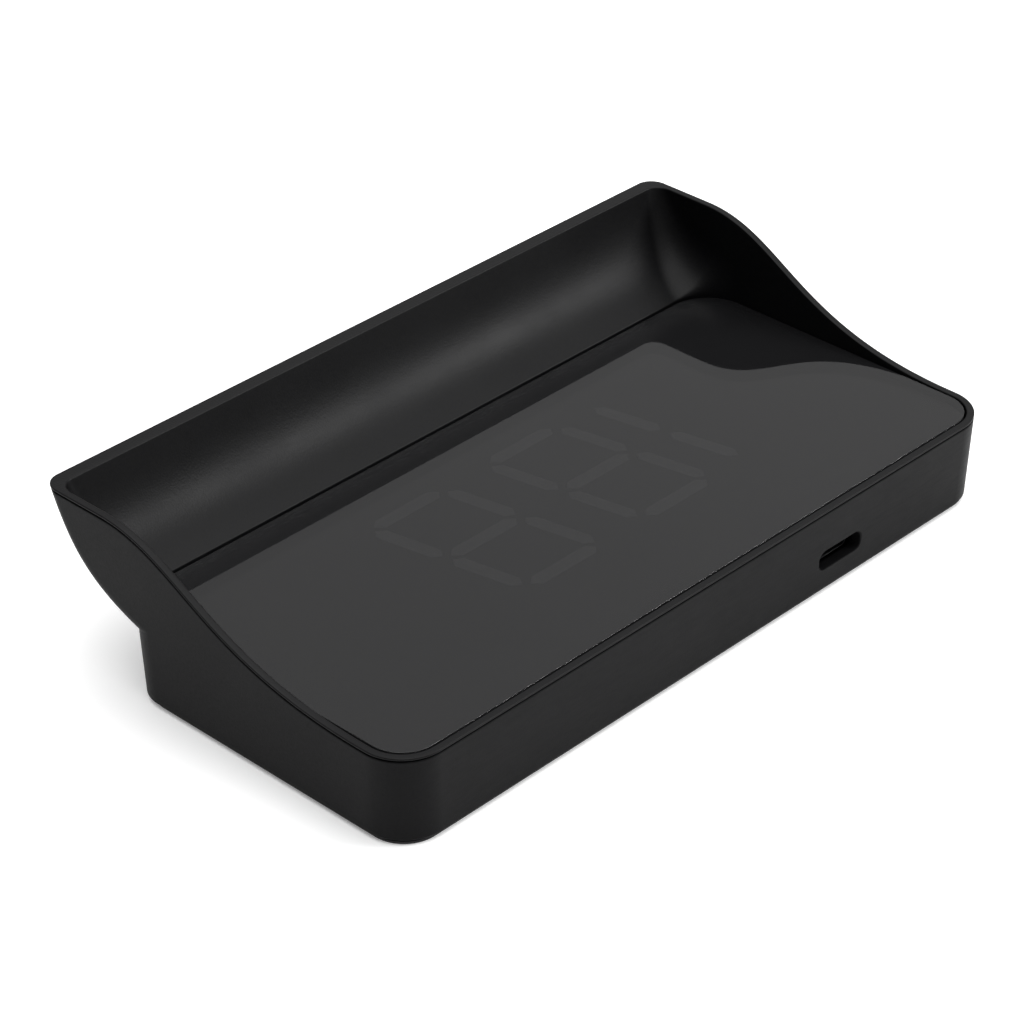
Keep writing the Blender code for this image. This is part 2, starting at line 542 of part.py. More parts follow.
# Function button in the rear wall, pressing the plunger of a tact switch under the board
button_at = (BUTTON_X, BASE_REAR_Y, CONTROL_Z)
slot = rounded(BUTTON_X - 4.0, BUTTON_X + 4.0, CONTROL_Z - 1.8, CONTROL_Z + 1.8, 1.75, 4)
button = add("function_button", along_y(slot, inner_rear - 0.7, BASE_REAR_Y + 0.6), BLACK_ABS, at=button_at, smooth=True)
boolean(button, helper("button_flange", along_y(rounded(BUTTON_X - 5.2, BUTTON_X + 5.2, CONTROL_Z - 1.75, CONTROL_Z + 1.75, 1.2, 3), inner_rear - 1.4, inner_rear - GAP)), "UNION")
boolean(button, helper("button_stem", block(BUTTON_X - 1.0, BUTTON_X + 1.0, 17.4, inner_rear - 0.5, CONTROL_Z - 0.9, CONTROL_Z + 0.9)), "UNION")
tact = add("tact_switch", block(BUTTON_X - 3.0, BUTTON_X + 3.0, 12.0, 15.6, PCB_Z - GAP - 3.4, PCB_Z - GAP), BLACK_PART)
boolean(tact, helper("tact_bore", block(BUTTON_X - 1.1, BUTTON_X + 1.1, 14.2, 17.0, CONTROL_Z - 0.9, CONTROL_Z + 0.9)))
plunger = add("tact_plunger", block(BUTTON_X - 0.8, BUTTON_X + 0.8, 15.0, 17.1, CONTROL_Z - 0.6, CONTROL_Z + 0.6), CREAM, at=(BUTTON_X, 15.0, CONTROL_Z))

# Power slide switch beside it; the knob is at one end of its travel
knob_x = SWITCH_X - SWITCH_TRAVEL / 2
switch = add("slide_switch", block(SWITCH_X - 4.3, SWITCH_X + 4.3, 14.6, 18.6, PCB_Z - GAP - 3.4, PCB_Z - GAP), TIN)
boolean(switch, helper("switch_channel", block(SWITCH_X - 2.2, SWITCH_X + 2.2, 16.0, 20.0, CONTROL_Z - 1.0, CONTROL_Z + 1.0)))
knob = add("power_knob", block(knob_x - 0.9, knob_x + 0.9, 16.4, BASE_REAR_Y + 0.7, CONTROL_Z - 0.7, CONTROL_Z + 0.7), BLACK_PART, at=(knob_x, BASE_REAR_Y, CONTROL_Z))
for i, dx in enumerate((-0.35, 0.35)):
    boolean(knob, helper(f"knob_groove_{i}", block(knob_x + dx - 0.12, knob_x + dx + 0.12, BASE_REAR_Y + 0.45, BASE_REAR_Y + 2.0, CONTROL_Z - 2, CONTROL_Z + 2)))
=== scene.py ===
"""Studio scene of a dashboard head-up speed display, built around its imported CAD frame.

Lengths in the shape code are millimetres and become metres through MM.
"""

import bisect
import json
import math

import bmesh
import bpy
from mathutils import Matrix, Vector


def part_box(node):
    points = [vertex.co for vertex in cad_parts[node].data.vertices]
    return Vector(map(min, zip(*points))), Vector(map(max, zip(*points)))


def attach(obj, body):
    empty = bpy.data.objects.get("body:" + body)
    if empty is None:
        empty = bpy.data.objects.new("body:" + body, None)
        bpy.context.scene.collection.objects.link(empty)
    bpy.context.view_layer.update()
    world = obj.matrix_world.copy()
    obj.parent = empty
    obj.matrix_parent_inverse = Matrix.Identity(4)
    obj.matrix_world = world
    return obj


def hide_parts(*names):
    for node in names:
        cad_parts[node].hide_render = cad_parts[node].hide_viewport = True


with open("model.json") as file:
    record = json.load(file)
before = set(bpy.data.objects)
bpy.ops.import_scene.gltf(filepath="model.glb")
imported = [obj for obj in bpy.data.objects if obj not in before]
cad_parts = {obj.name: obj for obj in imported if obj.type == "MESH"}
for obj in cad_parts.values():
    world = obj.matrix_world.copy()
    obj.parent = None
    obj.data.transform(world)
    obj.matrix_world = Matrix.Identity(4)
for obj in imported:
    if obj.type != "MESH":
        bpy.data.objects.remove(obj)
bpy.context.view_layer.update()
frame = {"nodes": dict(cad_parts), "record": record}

MM = 0.001
GAP = 0.3

# The housing's dimensions, as in its CAD
CASE_WIDTH, CASE_DEPTH, CASE_HEIGHT = 140.0, 77.8, 32.1
RIM_FRONT_Z = 16.3
SIDE_DRAFT, FRONT_DRAFT = 0.0348, 0.0341
CASE_BOTTOM_Z = 0.8
BASE_REAR_Y = 22.6
FRONT_CORNER_R, HOOD_EDGE_R, BASE_CORNER_R = 7.85, 3.2, 6.3
PARTING_DROP = 0.65
BASE_WALL, FRONT_WALL, LAP_WALL, SKIRT = 1.5, 1.8, 0.65, 0.4
LAP_FLOOR_Z = 12.4
HOOD_CASE_WALL, HOOD_THICKNESS = 0.95, 2.5
WINDOW_TOP_Z, WINDOW_T, WINDOW_REAR_Y = 16.25, 1.2, 23.85
WINDOW_FRONT_R, WINDOW_REAR_R = 6.2, 8.1
TAPE_T, LEDGE_W = 0.35, 2.6
PAD_T, PAD_INSET, PAD_CORNER_R = 0.5, 0.75, 6.2
SCREW_AT = [(-62.5, -30.5), (62.5, -30.5), (-62.5, 14.5), (62.5, 14.5)]
USB_X, USB_Z, USB_SLOT_W, USB_SLOT_H = 30.2, 6.4, 10.5, 3.5
BUTTON_X, SWITCH_X, CONTROL_Z = -18.0, 6.0, 6.2
SWITCH_TRAVEL = 2.0
DIGIT_HALF_W, DIGIT_HALF_H, DIGIT_SLANT = 8.25, 14.6, -0.19
DIGIT_AT = [(-15.7, -2.95), (11.15, -2.75)]
ONE_X, ONE_Y = 28.0, -2.45
STROKE = 2.7
FRONT_Y, REAR_Y = -CASE_DEPTH / 2, CASE_DEPTH / 2

RIM_SWEEP = [(25.0, CASE_HEIGHT), (7.8, CASE_HEIGHT), (3.8, RIM_FRONT_Z), (-30.25, RIM_FRONT_Z)]
HOOD_BACK = [(REAR_Y, CASE_HEIGHT), (35.3, 21.2), (31.1, 16.1), (19.6, 12.2)]
RIM_STEPS, HOOD_STEPS, ROUND_STEPS = 64, 48, 14
RIM_R, LIP_R, SILL_R = 0.22, 0.24, 0.2


# ---------------------------------------------------------------- curves and swept shapes


def bezier(points, count):
    out = []
    for i in range(count + 1):
        t = i / count
        w = ((1 - t) ** 3, 3 * t * (1 - t) ** 2, 3 * t * t * (1 - t), t ** 3)
        out.append((sum(a * p[0] for a, p in zip(w, points)), sum(a * p[1] for a, p in zip(w, points))))
    return out


def offset_curve(points, distance):
    out = []
    for i, p in enumerate(points):
        a, b = points[max(i - 1, 0)], points[min(i + 1, len(points) - 1)]
        dy, dz = b[0] - a[0], b[1] - a[1]
        length = math.hypot(dy, dz)
        out.append((p[0] - dz / length * distance, p[1] + dy / length * distance))
    return out


def rim(drop=0.0, count=RIM_STEPS):
    return [(y, z - drop) for y, z in bezier(RIM_SWEEP, count)]


def hood(inset=0.0, count=HOOD_STEPS):
    return offset_curve(bezier(HOOD_BACK, count)[::-1], inset)


def cut_below(curve, y_limit, least=0.12):
    out = []
    for a, b in zip(curve, curve[1:]):
        if a[0] < y_limit <= b[0]:
            t = (y_limit - a[0]) / (b[0] - a[0])
            out.append((y_limit, a[1] + t * (b[1] - a[1])))
        if b[0] > y_limit:
            out.append(b)
    return [p for i, p in enumerate(out) if i == 0 or math.dist(p, out[i - 1]) > least]


def half_width(z):
    return CASE_WIDTH / 2 - SIDE_DRAFT * (CASE_HEIGHT - z)


def front_y(z):
    return FRONT_Y + FRONT_DRAFT * (RIM_FRONT_Z - z)


RIM_LINE = rim(0.0, 400)[::-1]


def rim_height(y):
    """Height of the rim's sweep over y."""
    if y >= RIM_LINE[-1][0]:
        return CASE_HEIGHT
    if y <= RIM_LINE[0][0]:
        return RIM_FRONT_Z
    i = bisect.bisect_right(RIM_LINE, (y, 1e9)) - 1
    a, b = RIM_LINE[i], RIM_LINE[i + 1]
    return a[1] + (y - a[0]) / (b[0] - a[0]) * (b[1] - a[1])


def prism(outline, z0, z1):
    bm = bmesh.new()
    face = bm.faces.new([bm.verts.new((x * MM, y * MM, z0 * MM)) for x, y in outline])
    made = bmesh.ops.extrude_face_region(bm, geom=[face])
    bmesh.ops.translate(bm, verts=[v for v in made["geom"] if isinstance(v, bmesh.types.BMVert)], vec=(0, 0, (z1 - z0) * MM))
    bmesh.ops.recalc_face_normals(bm, faces=bm.faces)
    return bm


def loft(rings):
    """Rings of points with equal counts, joined in order and closed at both ends."""
    bm = bmesh.new()
    verts = [[bm.verts.new(Vector(p) * MM) for p in ring] for ring in rings]
    for a, b in zip(verts, verts[1:]):
        for i in range(len(a)):
            j = (i + 1) % len(a)
            bm.faces.new((a[i], a[j], b[j], b[i]))
    bm.faces.new(verts[0][::-1])
    bm.faces.new(verts[-1])
    bmesh.ops.recalc_face_normals(bm, faces=bm.faces)
    return bm


def rounded(x0, x1, y0, y1, radii, steps=8):
    if not isinstance(radii, (list, tuple)):
        radii = [radii] * 4
    corners = [(x0, y0, 180), (x1, y0, 270), (x1, y1, 0), (x0, y1, 90)]
    out = []
    for (x, y, start), r in zip(corners, radii):
        if r <= 0:
            out.append((x, y))
            continue
        cx, cy = x + (r if x == x0 else -r), y + (r if y == y0 else -r)
        for k in range(steps + 1):
            a = math.radians(start + 90.0 * k / steps)
            out.append((cx + r * math.cos(a), cy + r * math.sin(a)))
    return [p for i, p in enumerate(out) if math.dist(p, out[i - 1]) > 1e-4]


def block(x0, x1, y0, y1, z0, z1):
    return prism([(x0, y0), (x1, y0), (x1, y1), (x0, y1)], z0, z1)


def cylinder(x, y, z0, z1, r, sides=32):
    return prism([(x + r * math.cos(2 * math.pi * k / sides), y + r * math.sin(2 * math.pi * k / sides)) for k in range(sides)], z0, z1)


def mouth(x, z, w, h, r, y_out, y_in, ease, outward, steps=6):
    """A rounded slot along Y whose edge at y_out is eased open by a quarter round; outward is the way out, -1 or 1."""
    def ring(y, grow):
        return [(px, y, pz) for px, pz in rounded(x - w / 2 - grow, x + w / 2 + grow, z - h / 2 - grow, z + h / 2 + grow, r + grow, steps)]

    rings = [ring(y_in, 0.0)]
    for k in range(6):
        a = math.radians(90.0) * k / 5
        rings.append(ring(y_out - outward * ease * (1 - math.sin(a)), ease * (1 - math.cos(a))))
    rings.append(ring(y_out + outward * 1.5, ease))
    return loft(rings)


# ---------------------------------------------------------------- objects, cuts and edges


def make(name, bm, mat=None, smooth=32.0, weighted=True):
    mesh = bpy.data.meshes.new(name)
    bm.to_mesh(mesh)
    bm.free()
    obj = bpy.data.objects.new(name, mesh)
    bpy.context.scene.collection.objects.link(obj)
    if mat is not None:
        mesh.materials.append(mat)
    if smooth:
        mesh.shade_smooth()
        mesh.set_sharp_from_angle(angle=math.radians(smooth))
    if weighted:
        mod = obj.modifiers.new("normals", "WEIGHTED_NORMAL")
        mod.keep_sharp = True
        mod.weight = 80
    return obj


def carve(bm, steps):
    """Cuts (or joins, where the operation says so) each shape in turn, and returns the solid as a new bmesh."""
    obj = make("carved", bm, smooth=0, weighted=False)
    used = [obj]
    for other, operation in steps:
        tool = make("tool", other, smooth=0, weighted=False)
        used.append(tool)
        mod = obj.modifiers.new("cut", "BOOLEAN")
        mod.operation = operation
        mod.solver = "EXACT"
        mod.object = tool
    graph = bpy.context.evaluated_depsgraph_get()
    mesh = bpy.data.meshes.new_from_object(obj.evaluated_get(graph), depsgraph=graph)
    out = bmesh.new()
    out.from_mesh(mesh)
    for o in used:
        old = o.data
        bpy.data.objects.remove(o, do_unlink=True)
        bpy.data.meshes.remove(old)
    bpy.data.meshes.remove(mesh)
    bmesh.ops.remove_doubles(out, verts=out.verts, dist=4e-6)
    bmesh.ops.dissolve_degenerate(out, edges=out.edges, dist=3e-6)
    return out


def ease(bm, pick, radius, segments=3, least=30.0):
    """Rounds each sharp edge that pick(edge, middle in millimetres) accepts."""
    bm.edges.ensure_lookup_table()
    chosen = []
    for e in bm.edges:
        if len(e.link_faces) != 2:
            continue
        if e.calc_face_angle(0.0) < math.radians(least):
            continue
        if pick(e, (e.verts[0].co + e.verts[1].co) / (2 * MM)):
            chosen.append(e)
    if chosen:
        bmesh.ops.bevel(bm, geom=chosen, offset=radius * MM, offset_type="OFFSET", segments=segments, profile=0.5, affect="EDGES", clamp_overlap=True, miter_outer="ARC")
    return len(chosen)


# ---------------------------------------------------------------- materials


def nodes_for(name):
    mat = bpy.data.materials.new(name)
    mat.use_nodes = True
    tree = mat.node_tree
    bsdf = tree.nodes["Principled BSDF"]
    coords = tree.nodes.new("ShaderNodeTexCoord")
    return mat, tree, bsdf, coords


def noise(tree, coords, scale, detail=2.0, roughness=0.5, stretch=None):
    source = coords.outputs["Object"]
    if stretch is not None:
        mapping = tree.nodes.new("ShaderNodeMapping")
        mapping.inputs["Scale"].default_value = stretch
        tree.links.new(source, mapping.inputs["Vector"])
        source = mapping.outputs["Vector"]
    node = tree.nodes.new("ShaderNodeTexNoise")
    node.inputs["Scale"].default_value = scale
    node.inputs["Detail"].default_value = detail
    node.inputs["Roughness"].default_value = roughness
    tree.links.new(source, node.inputs["Vector"])
    return node.outputs["Fac"]


def ramp(tree, source, low, high, low_at=0.3, high_at=0.7):
    node = tree.nodes.new("ShaderNodeMapRange")
    node.inputs["From Min"].default_value = low_at
    node.inputs["From Max"].default_value = high_at
    node.inputs["To Min"].default_value = low
    node.inputs["To Max"].default_value = high
    tree.links.new(source, node.inputs["Value"])
    return node.outputs["Result"]


def blend_colour(tree, factor, a, b):
    node = tree.nodes.new("ShaderNodeMix")
    node.data_type = "RGBA"
    for socket, value in ((node.inputs[6], a), (node.inputs[7], b)):
        if isinstance(value, bpy.types.NodeSocket):
            tree.links.new(value, socket)
        else:
            socket.default_value = (*value, 1.0)
    if isinstance(factor, bpy.types.NodeSocket):
        tree.links.new(factor, node.inputs[0])
    else:
        node.inputs[0].default_value = factor
    return node.outputs[2]


def add_up(tree, a, b, operation="ADD"):
    node = tree.nodes.new("ShaderNodeMath")
    node.operation = operation
    for socket, value in zip(node.inputs, (a, b)):
        if isinstance(value, bpy.types.NodeSocket):
            tree.links.new(value, socket)
        else:
            socket.default_value = value
    return node.outputs[0]


def bump(tree, bsdf, height, distance, strength=1.0, before=None):
    node = tree.nodes.new("ShaderNodeBump")
    node.inputs["Distance"].default_value = distance
    node.inputs["Strength"].default_value = strength
    tree.links.new(height, node.inputs["Height"])
    if before is not None:
        tree.links.new(before, node.inputs["Normal"])
    tree.links.new(node.outputs["Normal"], bsdf.inputs["Normal"])
    return node.outputs["Normal"]


def moulded(name, dark, light, rough, specular=0.5, grain=4200.0, depth=1.5e-5, wear=0.0, scuffed=0.05):
    """Moulded plastic: spark-eroded grain, cloudy gloss and a little handling wear."""
    mat, tree, bsdf, coords = nodes_for(name)
    cloud = noise(tree, coords, 60.0, 3.0)
    speck = noise(tree, coords, grain * 0.5, 1.0)
    tone = ramp(tree, add_up(tree, add_up(tree, cloud, 0.6, "MULTIPLY"), add_up(tree, speck, 0.4, "MULTIPLY")), 0.0, 1.0)
    colour = blend_colour(tree, tone, dark, light)
    if wear > 0:
        geometry = tree.nodes.new("ShaderNodeNewGeometry")
        edge = ramp(tree, geometry.outputs["Pointiness"], 0.0, wear, 0.52, 0.60)
        patch = ramp(tree, noise(tree, coords, 420.0, 3.0), 0.0, 1.0, 0.42, 0.62)
        colour = blend_colour(tree, add_up(tree, edge, patch, "MULTIPLY"), colour, tuple(min(1.0, c * 3.0 + 0.01) for c in light))
    tree.links.new(colour, bsdf.inputs["Base Color"])
    scuff = noise(tree, coords, 260.0, 4.0, 0.6, (1.0, 7.0, 7.0))
    gloss = add_up(tree, ramp(tree, cloud, rough - 0.03, rough + 0.03), ramp(tree, scuff, -0.4 * scuffed, scuffed, 0.35, 0.75))
    tree.links.new(gloss, bsdf.inputs["Roughness"])
    bsdf.inputs["Specular IOR Level"].default_value = specular
    fine = noise(tree, coords, grain, 2.0, 0.6)
    first = bump(tree, bsdf, fine, depth)
    bump(tree, bsdf, noise(tree, coords, 700.0, 1.0), depth * 0.5, 1.0, first)
    return mat


def window_material(name, dark, light, rough, specular, alpha):
    """Smoke-tinted acrylic, polished, with the faintest wipe marks."""
    mat, tree, bsdf, coords = nodes_for(name)
    cloud = noise(tree, coords, 35.0, 2.0)
    tree.links.new(blend_colour(tree, ramp(tree, cloud, 0.0, 1.0), dark, light), bsdf.inputs["Base Color"])
    wipe = noise(tree, coords, 120.0, 5.0, 0.6, (1.0, 5.0, 1.0))
    tree.links.new(ramp(tree, wipe, rough, rough + 0.035, 0.45, 0.8), bsdf.inputs["Roughness"])
    bsdf.inputs["Specular IOR Level"].default_value = specular
    bsdf.inputs["IOR"].default_value = 1.49
    bsdf.inputs["Alpha"].default_value = alpha
    bump(tree, bsdf, noise(tree, coords, 30.0, 1.0), 6e-6, 0.5)
    return mat


def metal(name, dark, light, rough, brush=(1.0, 30.0, 30.0), scale=900.0, depth=3e-6):
    mat, tree, bsdf, coords = nodes_for(name)
    lines = noise(tree, coords, scale, 3.0, 0.6, brush)
    cloud = noise(tree, coords, 400.0, 3.0)
    tree.links.new(blend_colour(tree, ramp(tree, cloud, 0.0, 1.0), dark, light), bsdf.inputs["Base Color"])
    tree.links.new(add_up(tree, ramp(tree, lines, -0.06, 0.08), ramp(tree, cloud, rough - 0.03, rough + 0.05)), bsdf.inputs["Roughness"])
    bsdf.inputs["Metallic"].default_value = 1.0
    bump(tree, bsdf, lines, depth)
    return mat


def rubbery(name, dark, light, rough=0.75, grain=3000.0, depth=3e-5, voronoi=False):
    mat, tree, bsdf, coords = nodes_for(name)
    cloud = noise(tree, coords, 90.0, 3.0)
    tree.links.new(blend_colour(tree, ramp(tree, cloud, 0.0, 1.0), dark, light), bsdf.inputs["Base Color"])
    tree.links.new(ramp(tree, cloud, rough - 0.06, rough + 0.06), bsdf.inputs["Roughness"])
    bsdf.inputs["Specular IOR Level"].default_value = 0.35
    fine = noise(tree, coords, grain, 2.0, 0.7)
    if voronoi:
        cells = tree.nodes.new("ShaderNodeTexVoronoi")
        cells.inputs["Scale"].default_value = grain * 0.4
        tree.links.new(coords.outputs["Object"], cells.inputs["Vector"])
        fine = add_up(tree, fine, cells.outputs["Distance"])
    bump(tree, bsdf, fine, depth)
    return mat


def board(name):
    """Green lacquer with copper tracks showing through as lighter lines."""
    mat, tree, bsdf, coords = nodes_for(name)
    brick = tree.nodes.new("ShaderNodeTexBrick")
    brick.inputs["Scale"].default_value = 230.0
    brick.inputs["Mortar Size"].default_value = 0.03
    brick.inputs["Color1"].default_value = (0, 0, 0, 1)
    brick.inputs["Color2"].default_value = (0, 0, 0, 1)
    brick.inputs["Mortar"].default_value = (1, 1, 1, 1)
    tree.links.new(coords.outputs["Object"], brick.inputs["Vector"])
    where = ramp(tree, noise(tree, coords, 110.0, 1.0), 0.0, 1.0, 0.48, 0.52)
    tracks = add_up(tree, brick.outputs["Fac"], where, "MULTIPLY")
    cloud = noise(tree, coords, 200.0, 3.0)
    lacquer = blend_colour(tree, ramp(tree, cloud, 0.0, 1.0), (0.006, 0.075, 0.032), (0.009, 0.10, 0.045))
    tree.links.new(blend_colour(tree, tracks, lacquer, (0.03, 0.20, 0.08)), bsdf.inputs["Base Color"])
    tree.links.new(ramp(tree, cloud, 0.28, 0.4), bsdf.inputs["Roughness"])
    bump(tree, bsdf, tracks, 3e-5)
    return mat


def silicon(name):
    """Thin-film cell: dark blue-black with pale finger lines."""
    mat, tree, bsdf, coords = nodes_for(name)
    wave = tree.nodes.new("ShaderNodeTexWave")
    wave.inputs["Scale"].default_value = 95.0
    wave.inputs["Distortion"].default_value = 0.0
    tree.links.new(coords.outputs["Object"], wave.inputs["Vector"])
    finger = ramp(tree, wave.outputs["Fac"], 0.0, 1.0, 0.985, 0.995)
    cloud = noise(tree, coords, 300.0, 4.0)
    base = blend_colour(tree, ramp(tree, cloud, 0.0, 1.0), (0.006, 0.008, 0.020), (0.012, 0.015, 0.032))
    tree.links.new(blend_colour(tree, finger, base, (0.09, 0.09, 0.095)), bsdf.inputs["Base Color"])
    tree.links.new(ramp(tree, cloud, 0.2, 0.32), bsdf.inputs["Roughness"])
    bump(tree, bsdf, finger, 1.5e-5)
    return mat


def plain(name, dark, light, rough, grain=2500.0, depth=8e-6, specular=0.5):
    """A small moulded, ceramic or lacquered piece with a soft uneven surface."""
    mat, tree, bsdf, coords = nodes_for(name)
    cloud = noise(tree, coords, 500.0, 4.0)
    tree.links.new(blend_colour(tree, ramp(tree, cloud, 0.0, 1.0), dark, light), bsdf.inputs["Base Color"])
    tree.links.new(ramp(tree, cloud, rough - 0.05, rough + 0.05), bsdf.inputs["Roughness"])
    bsdf.inputs["Specular IOR Level"].default_value = specular
    bump(tree, bsdf, noise(tree, coords, grain, 2.0), depth)
    return mat


MATS = {
    "black_abs": moulded("abs_grained", (0.0030, 0.0030, 0.0033), (0.0050, 0.0050, 0.0054), 0.50, 0.072, wear=0.1),
    "liner_abs": moulded("abs_liner", (0.0024, 0.0024, 0.0027), (0.0040, 0.0040, 0.0044), 0.38, 0.122, grain=3200.0, depth=2.4e-5, wear=0.1, scuffed=0.015),
    "tinted_acrylic": window_material("smoked_acrylic", (0.0082, 0.0082, 0.0088), (0.0096, 0.0096, 0.0102), 0.022, 0.50, 0.68),
    "black_silicone": rubbery("silicone", (0.012, 0.012, 0.013), (0.020, 0.020, 0.021), 0.7, 2600.0, 2.5e-5, True),
    "tape_foam": rubbery("foam_tape", (0.035, 0.035, 0.035), (0.06, 0.06, 0.06), 0.9, 4000.0, 6e-5, True),
    "solder_mask": board("solder_mask_green"),
    "screw_steel": metal("zinc_steel", (0.42, 0.42, 0.43), (0.60, 0.60, 0.61), 0.34, (20.0, 20.0, 1.0)),
    "tinned_steel": metal("tinned_steel", (0.60, 0.60, 0.61), (0.74, 0.74, 0.75), 0.27),
    "component_black": plain("epoxy_black", (0.014, 0.014, 0.015), (0.022, 0.022, 0.023), 0.5),
    "reflector_white": plain("reflector_white", (0.70, 0.70, 0.69), (0.78, 0.78, 0.77), 0.45),
    "diffuser_film": plain("diffuser_film", (0.33, 0.33, 0.33), (0.38, 0.38, 0.38), 0.6, 5000.0, 1.5e-5),
    "antenna_ceramic": plain("fired_ceramic", (0.52, 0.45, 0.33), (0.66, 0.59, 0.46), 0.6),
    "solar_silicon": silicon("solar_silicon"),
    "cell_pouch": metal("pouch_foil", (0.50, 0.51, 0.52), (0.64, 0.65, 0.66), 0.4, (1.0, 1.0, 1.0), 350.0, 6e-5),
    "wire_red": plain("insulation_red", (0.40, 0.012, 0.012), (0.52, 0.02, 0.02), 0.45),
    "wire_black": plain("insulation_black", (0.014, 0.014, 0.014), (0.024, 0.024, 0.024), 0.45),
    "connector_cream": plain("nylon_cream", (0.68, 0.64, 0.54), (0.78, 0.75, 0.66), 0.45),
    "led_body": plain("led_phosphor", (0.74, 0.70, 0.42), (0.84, 0.82, 0.66), 0.3),
}

PRINT_BLACK = plain("window_print_black", (0.0020, 0.0020, 0.0021), (0.0030, 0.0030, 0.0032), 0.6, 3500.0, 4e-6, 0.2)
# Near-black metal for the USB socket shell: painted shade, darkening the shell so the recessed slot reads dark inside.
SOCKET_PAINTED_SHADE = metal("socket_painted_shade", (0.020, 0.020, 0.021), (0.034, 0.034, 0.035), 0.38)
CONTACT_GOLD = metal("contact_gold", (0.70, 0.45, 0.14), (0.86, 0.60, 0.24), 0.25)

slots = {s["node"]: s["material_slot"] for s in frame["record"]["subparts"]}
for name, obj in frame["nodes"].items():
    obj.data.materials.clear()
    obj.data.materials.append(MATS[slots[name]])


# ---------------------------------------------------------------- ringed walls
#
# The casing and the bezel are built from rings that run right round the housing: across the hood, round a rear
# corner, down the side under the rim's sweep, round a front corner and across the front, then back by symmetry.

REAR_N, CORNER_N, SIDE_N, FRONT_N = 8, 16, 76, 8


def round_corner(points, index, radius, steps=6):
    """Replaces one corner of an open line by an arc-like curve that starts and ends radius away from it."""
    p, a, b = points[index], points[index - 1], points[index + 1]
    la, lb = math.dist(p, a), math.dist(p, b)
    s = (p[0] + (a[0] - p[0]) * radius / la, p[1] + (a[1] - p[1]) * radius / la)
    e = (p[0] + (b[0] - p[0]) * min(radius / lb, 1.0), p[1] + (b[1] - p[1]) * min(radius / lb, 1.0))
    arc = []
    for i in range(steps + 1):
        t = i / steps
        arc.append(tuple((1 - t) ** 2 * s[j] + 2 * t * (1 - t) * p[j] + t * t * e[j] for j in (0, 1)))
    rest = points[index + 1:]
    if radius >= lb:
        rest = rest[1:]
    return points[:index] + arc + rest


def columns(profile, radii, fixed, top_z):
    """The rear profile moved inward for each step round a corner, each cut off at top_z. Up to index fixed, points keep their place."""
    (y0, z0), (y1, z1) = profile[-2:]
    length = math.hypot(y1 - y0, z1 - z0)
    line = profile + [(y1 + (y1 - y0) / length * 3.0, z1 + (z1 - z0) / length * 3.0)]
    radii = list(radii) + [radii[-1]]
    count, last = len(profile), len(line) - 1
    normals = []
    for i in range(len(line)):
        a, b = line[max(i - 1, 0)], line[min(i + 1, last)]
        dy, dz = b[0] - a[0], b[1] - a[1]
        length = math.hypot(dy, dz)
        normals.append((-dz / length, dy / length))
    out = []
    for k in range(CORNER_N + 1):
        inset = 1 - math.cos(math.radians(90.0) * k / CORNER_N)
        moved = [(y + n[0] * r * inset, z + n[1] * r * inset, r) for (y, z), n, r in zip(line, normals, radii)]
        at = last
        for i in range(last, 0, -1):
            if moved[i - 1][1] < top_z <= moved[i][1]:
                at = i - 1 + (top_z - moved[i - 1][1]) / (moved[i][1] - moved[i - 1][1])
                break
        column = []
        for v in range(count):
            t = v if v <= fixed else fixed + (v - fixed) * (at - fixed) / (count - 1 - fixed)
            i = min(int(t), last - 1)
            f = t - i
            column.append(tuple(moved[i][j] + (moved[i + 1][j] - moved[i][j]) * f for j in range(3)))
        out.append(column)
    return out


def with_share(cols):
    """Columns of (y, z, radius) as columns of (inset from the side, y, z)."""
    return [[(r * (1 - math.sin(math.radians(90.0) * k / CORNER_N)), y, z) for y, z, r in col] for k, col in enumerate(cols)]


def both_sides(half):
    """A closed ring from its right half, which runs from the middle of the rear to the middle of the front."""
    return [Vector(p) for p in half] + [Vector((-x, y, z)) for x, y, z in reversed(half[1:-1])]


def side_share(u):
    return u


def wall_rings(cols, wall, front, front_r, drop, front_low):
    """Rings from the bottom to drop below the rim, from the columns round a rear corner."""
    side = [(y, z) for q, y, z in cols[-1]]
    count = len(side)
    run = [0.0]
    for p, q in zip(side, side[1:]):
        run.append(run[-1] + math.dist(p, q))
    shares = [r / run[-1] for r in run]
    low, high = side[0], side[-1]
    zt = RIM_FRONT_Z - drop
    f_low, f_high = (front(front_low) + front_r, front_low), (front(zt) + front_r, zt)
    rings = []
    for v in range(count):
        w = shares[v]
        half = []
        q, y, z = cols[0][v]
        for i in range(REAR_N + 1):
            half.append(((half_width(z) - wall - q) * i / REAR_N, y, z))
        for k in range(1, CORNER_N + 1):
            q, y, z = cols[k][v]
            half.append((half_width(z) - wall - q, y, z))
        off = [side[v][c] - (low[c] + (high[c] - low[c]) * w) for c in (0, 1)]
        for j in range(1, SIDE_N + 1):
            u = side_share(j / SIDE_N)
            fade = max(0.0, 1 - u / 0.5) ** 1.5
            ty = high[0] + (f_high[0] - high[0]) * u
            top = (ty, rim_height(ty) - drop)
            bottom = (low[0] + (f_low[0] - low[0]) * u, low[1] + (f_low[1] - low[1]) * u)
            y, z = ((1 - w) * bottom[c] + w * top[c] + fade * off[c] for c in (0, 1))
            half.append((half_width(z) - wall, y, z))
        zf = front_low + w * (zt - front_low)
        for k in range(1, CORNER_N + 1):
            phi = math.radians(90.0) * (1 - k / CORNER_N)
            half.append((half_width(zf) - wall - front_r * (1 - math.sin(phi)), front(zf) + front_r * (1 - math.cos(phi)), zf))
        for i in range(1, FRONT_N + 1):
            half.append(((half_width(zf) - wall - front_r) * (1 - i / FRONT_N), front(zf), zf))
        rings.append(both_sides(half))
    return rings


